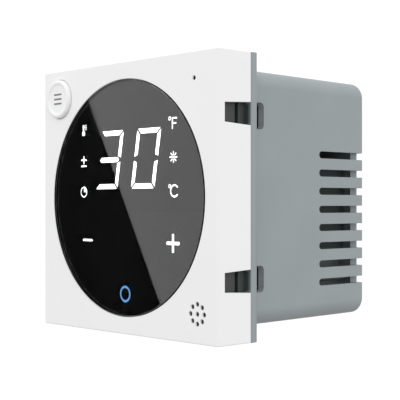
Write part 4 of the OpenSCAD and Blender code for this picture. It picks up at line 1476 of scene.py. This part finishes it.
@dataclass
class Studio:
    """The camera, the soft light, the pale floor and the dark card that the glass mirrors."""

    camera_place: tuple[float, float, float] = (0.26237, -0.22857, -0.00192)
    camera_aim: tuple[float, float, float] = (-0.7309, 0.6824, 0.0)
    lens: float = 95.9
    lift: float = 0.0098
    floor_z: float = -0.16
    sky: float = 1.2
    horizon: float = 0.96
    ground: float = 0.36
    backdrop: float = 1.05
    card_upper: tuple[float, float] = (-18.5, 32.8)
    card_lower: tuple[float, float] = (17.65, -32.15)
    card_reach: float = 4.0
    card_past: float = 0.12
    card_w: float = 0.32

    def camera(self) -> Piece:
        """Sets up the camera.

        Returns:
            The camera object.
        """
        bpy.ops.object.select_all(action="DESELECT")
        bpy.ops.object.camera_add(location=self.camera_place)
        camera = bpy.context.object
        camera.rotation_euler = Vector(self.camera_aim).to_track_quat("-Z", "Y").to_euler()
        camera.data.lens = self.lens
        camera.data.sensor_width = 36
        camera.data.shift_y = self.lift
        camera.data.clip_start = 0.01
        bpy.context.scene.camera = camera
        return camera

    def surroundings(self) -> None:
        """Lights the object from all round, brighter from above, against plain white."""
        world = bpy.data.worlds.new("studio")
        bpy.context.scene.world = world
        world.use_nodes = True
        tree = world.node_tree
        tree.nodes.clear()
        nodes, links = tree.nodes, tree.links
        direction = nodes.new("ShaderNodeTexCoord")
        split = nodes.new("ShaderNodeSeparateXYZ")
        ramp = nodes.new("ShaderNodeValToRGB")
        Recipe.set_stops(ramp, [(place, (level,) * 3) for place, level in
                                ((0.0, self.ground), (0.5, self.horizon), (1.0, self.sky))])
        span = nodes.new("ShaderNodeMapRange")
        span.inputs["From Min"].default_value = -1
        soft = nodes.new("ShaderNodeBackground")
        white = nodes.new("ShaderNodeBackground")
        white.inputs["Color"].default_value = (1, 1, 1, 1)
        white.inputs["Strength"].default_value = self.backdrop
        path = nodes.new("ShaderNodeLightPath")
        mix = nodes.new("ShaderNodeMixShader")
        out = nodes.new("ShaderNodeOutputWorld")
        for source, output, target, entry in (
            (direction, "Generated", split, 0), (split, "Z", span, "Value"),
            (span, "Result", ramp, "Fac"), (ramp, "Color", soft, "Color"),
            (path, "Is Camera Ray", mix, "Fac"), (soft, 0, mix, 1), (white, 0, mix, 2),
            (mix, 0, out, "Surface"),
        ):
            links.new(source.outputs[output], target.inputs[entry])

    def lamp(self, name: str, place: tuple[float, float, float], size: float, watts: float) -> None:
        """Adds a soft square lamp that faces the object.

        Args:
            name: The lamp's name.
            place: Where it stands.
            size: Its side.
            watts: Its power.
        """
        bpy.ops.object.select_all(action="DESELECT")
        bpy.ops.object.light_add(type="AREA", location=place)
        lamp = bpy.context.object
        lamp.name = name
        lamp.rotation_euler = (-Vector(place)).to_track_quat("-Z", "Y").to_euler()
        lamp.data.size = size
        lamp.data.energy = watts

    def floor(self) -> Piece:
        """Lays the pale floor well below the object.

        Returns:
            The floor.
        """
        bpy.ops.object.select_all(action="DESELECT")
        bpy.ops.mesh.primitive_plane_add(size=30, location=(0, 0, self.floor_z))
        floor = Bench.settle("studio_floor")
        recipe = Recipe("pale_floor")
        cloud = recipe.noise(recipe.place(), 0.002, 2.0)
        colour = recipe.blend(cloud, (0.9, 0.9, 0.9), (0.93, 0.93, 0.93))
        floor.data.materials.append(recipe.surface(Base_Color=colour, Roughness=0.8))
        floor.visible_glossy = False
        floor.visible_diffuse = False
        return floor

    def dark_card(self) -> Piece:
        """Hangs the black card whose edge the glass mirrors as a slanting line.

        Returns:
            The card.
        """
        glass_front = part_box("display_glass")[0].y
        eye = Vector(self.camera_place)
        mirrored = Vector((eye.x, 2 * glass_front - eye.y, eye.z))
        upper, lower = (mirrored + (Vector((x * MM, glass_front,
                                            z * MM)) - mirrored) * self.card_reach
                        for x, z in (self.card_upper, self.card_lower))
        along = (upper - lower).normalized()
        upper, lower = upper + along * self.card_past, lower - along * self.card_past
        aside = Vector((-along.z, 0, along.x))
        if aside.x > 0:
            aside = -aside
        corners = [upper, lower, lower + aside * self.card_w, upper + aside * self.card_w]
        bpy.ops.object.select_all(action="DESELECT")
        bpy.ops.mesh.primitive_plane_add(size=1)
        card = Bench.settle("dark_card")
        order = (3, 1, 0, 2)
        for index, corner in zip(order, corners):
            card.data.vertices[index].co = corner
        recipe = Recipe("card_black")
        felt = recipe.noise(recipe.place(), 0.5, 2.0)
        card.data.materials.append(recipe.surface(Base_Color=(0.002, 0.002, 0.002),
                                                  Roughness=felt * 0.1 + 0.9,
                                                  Specular_IOR_Level=0.0))
        card.visible_camera = False
        card.visible_diffuse = False
        card.visible_shadow = False
        return card

    def build(self) -> None:
        """Sets up the whole studio."""
        self.camera()
        self.surroundings()
        self.floor()
        self.dark_card()
        self.lamp("key_lamp", (-0.45, -0.7, 0.6), 0.35, 1.5)
        self.lamp("side_lamp", (0.9, -0.15, 0.35), 0.4, 1.2)
        bpy.context.scene.view_settings.view_transform = "Standard"


def main() -> None:
    """Builds the thermostat's sub-assemblies in order, and the studio round them."""
    logging.basicConfig(level=logging.INFO, format="%(name)s: %(message)s")
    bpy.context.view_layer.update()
    finishes = Finishes()
    Studio().build()
    for assembly in (FrontFrame, ModeButton, DisplayStack, CoverElectronics, RearHousing,
                     HousingInside,
                     Terminals):
        assembly(finishes).build()


if __name__ == "__main__":
    main()
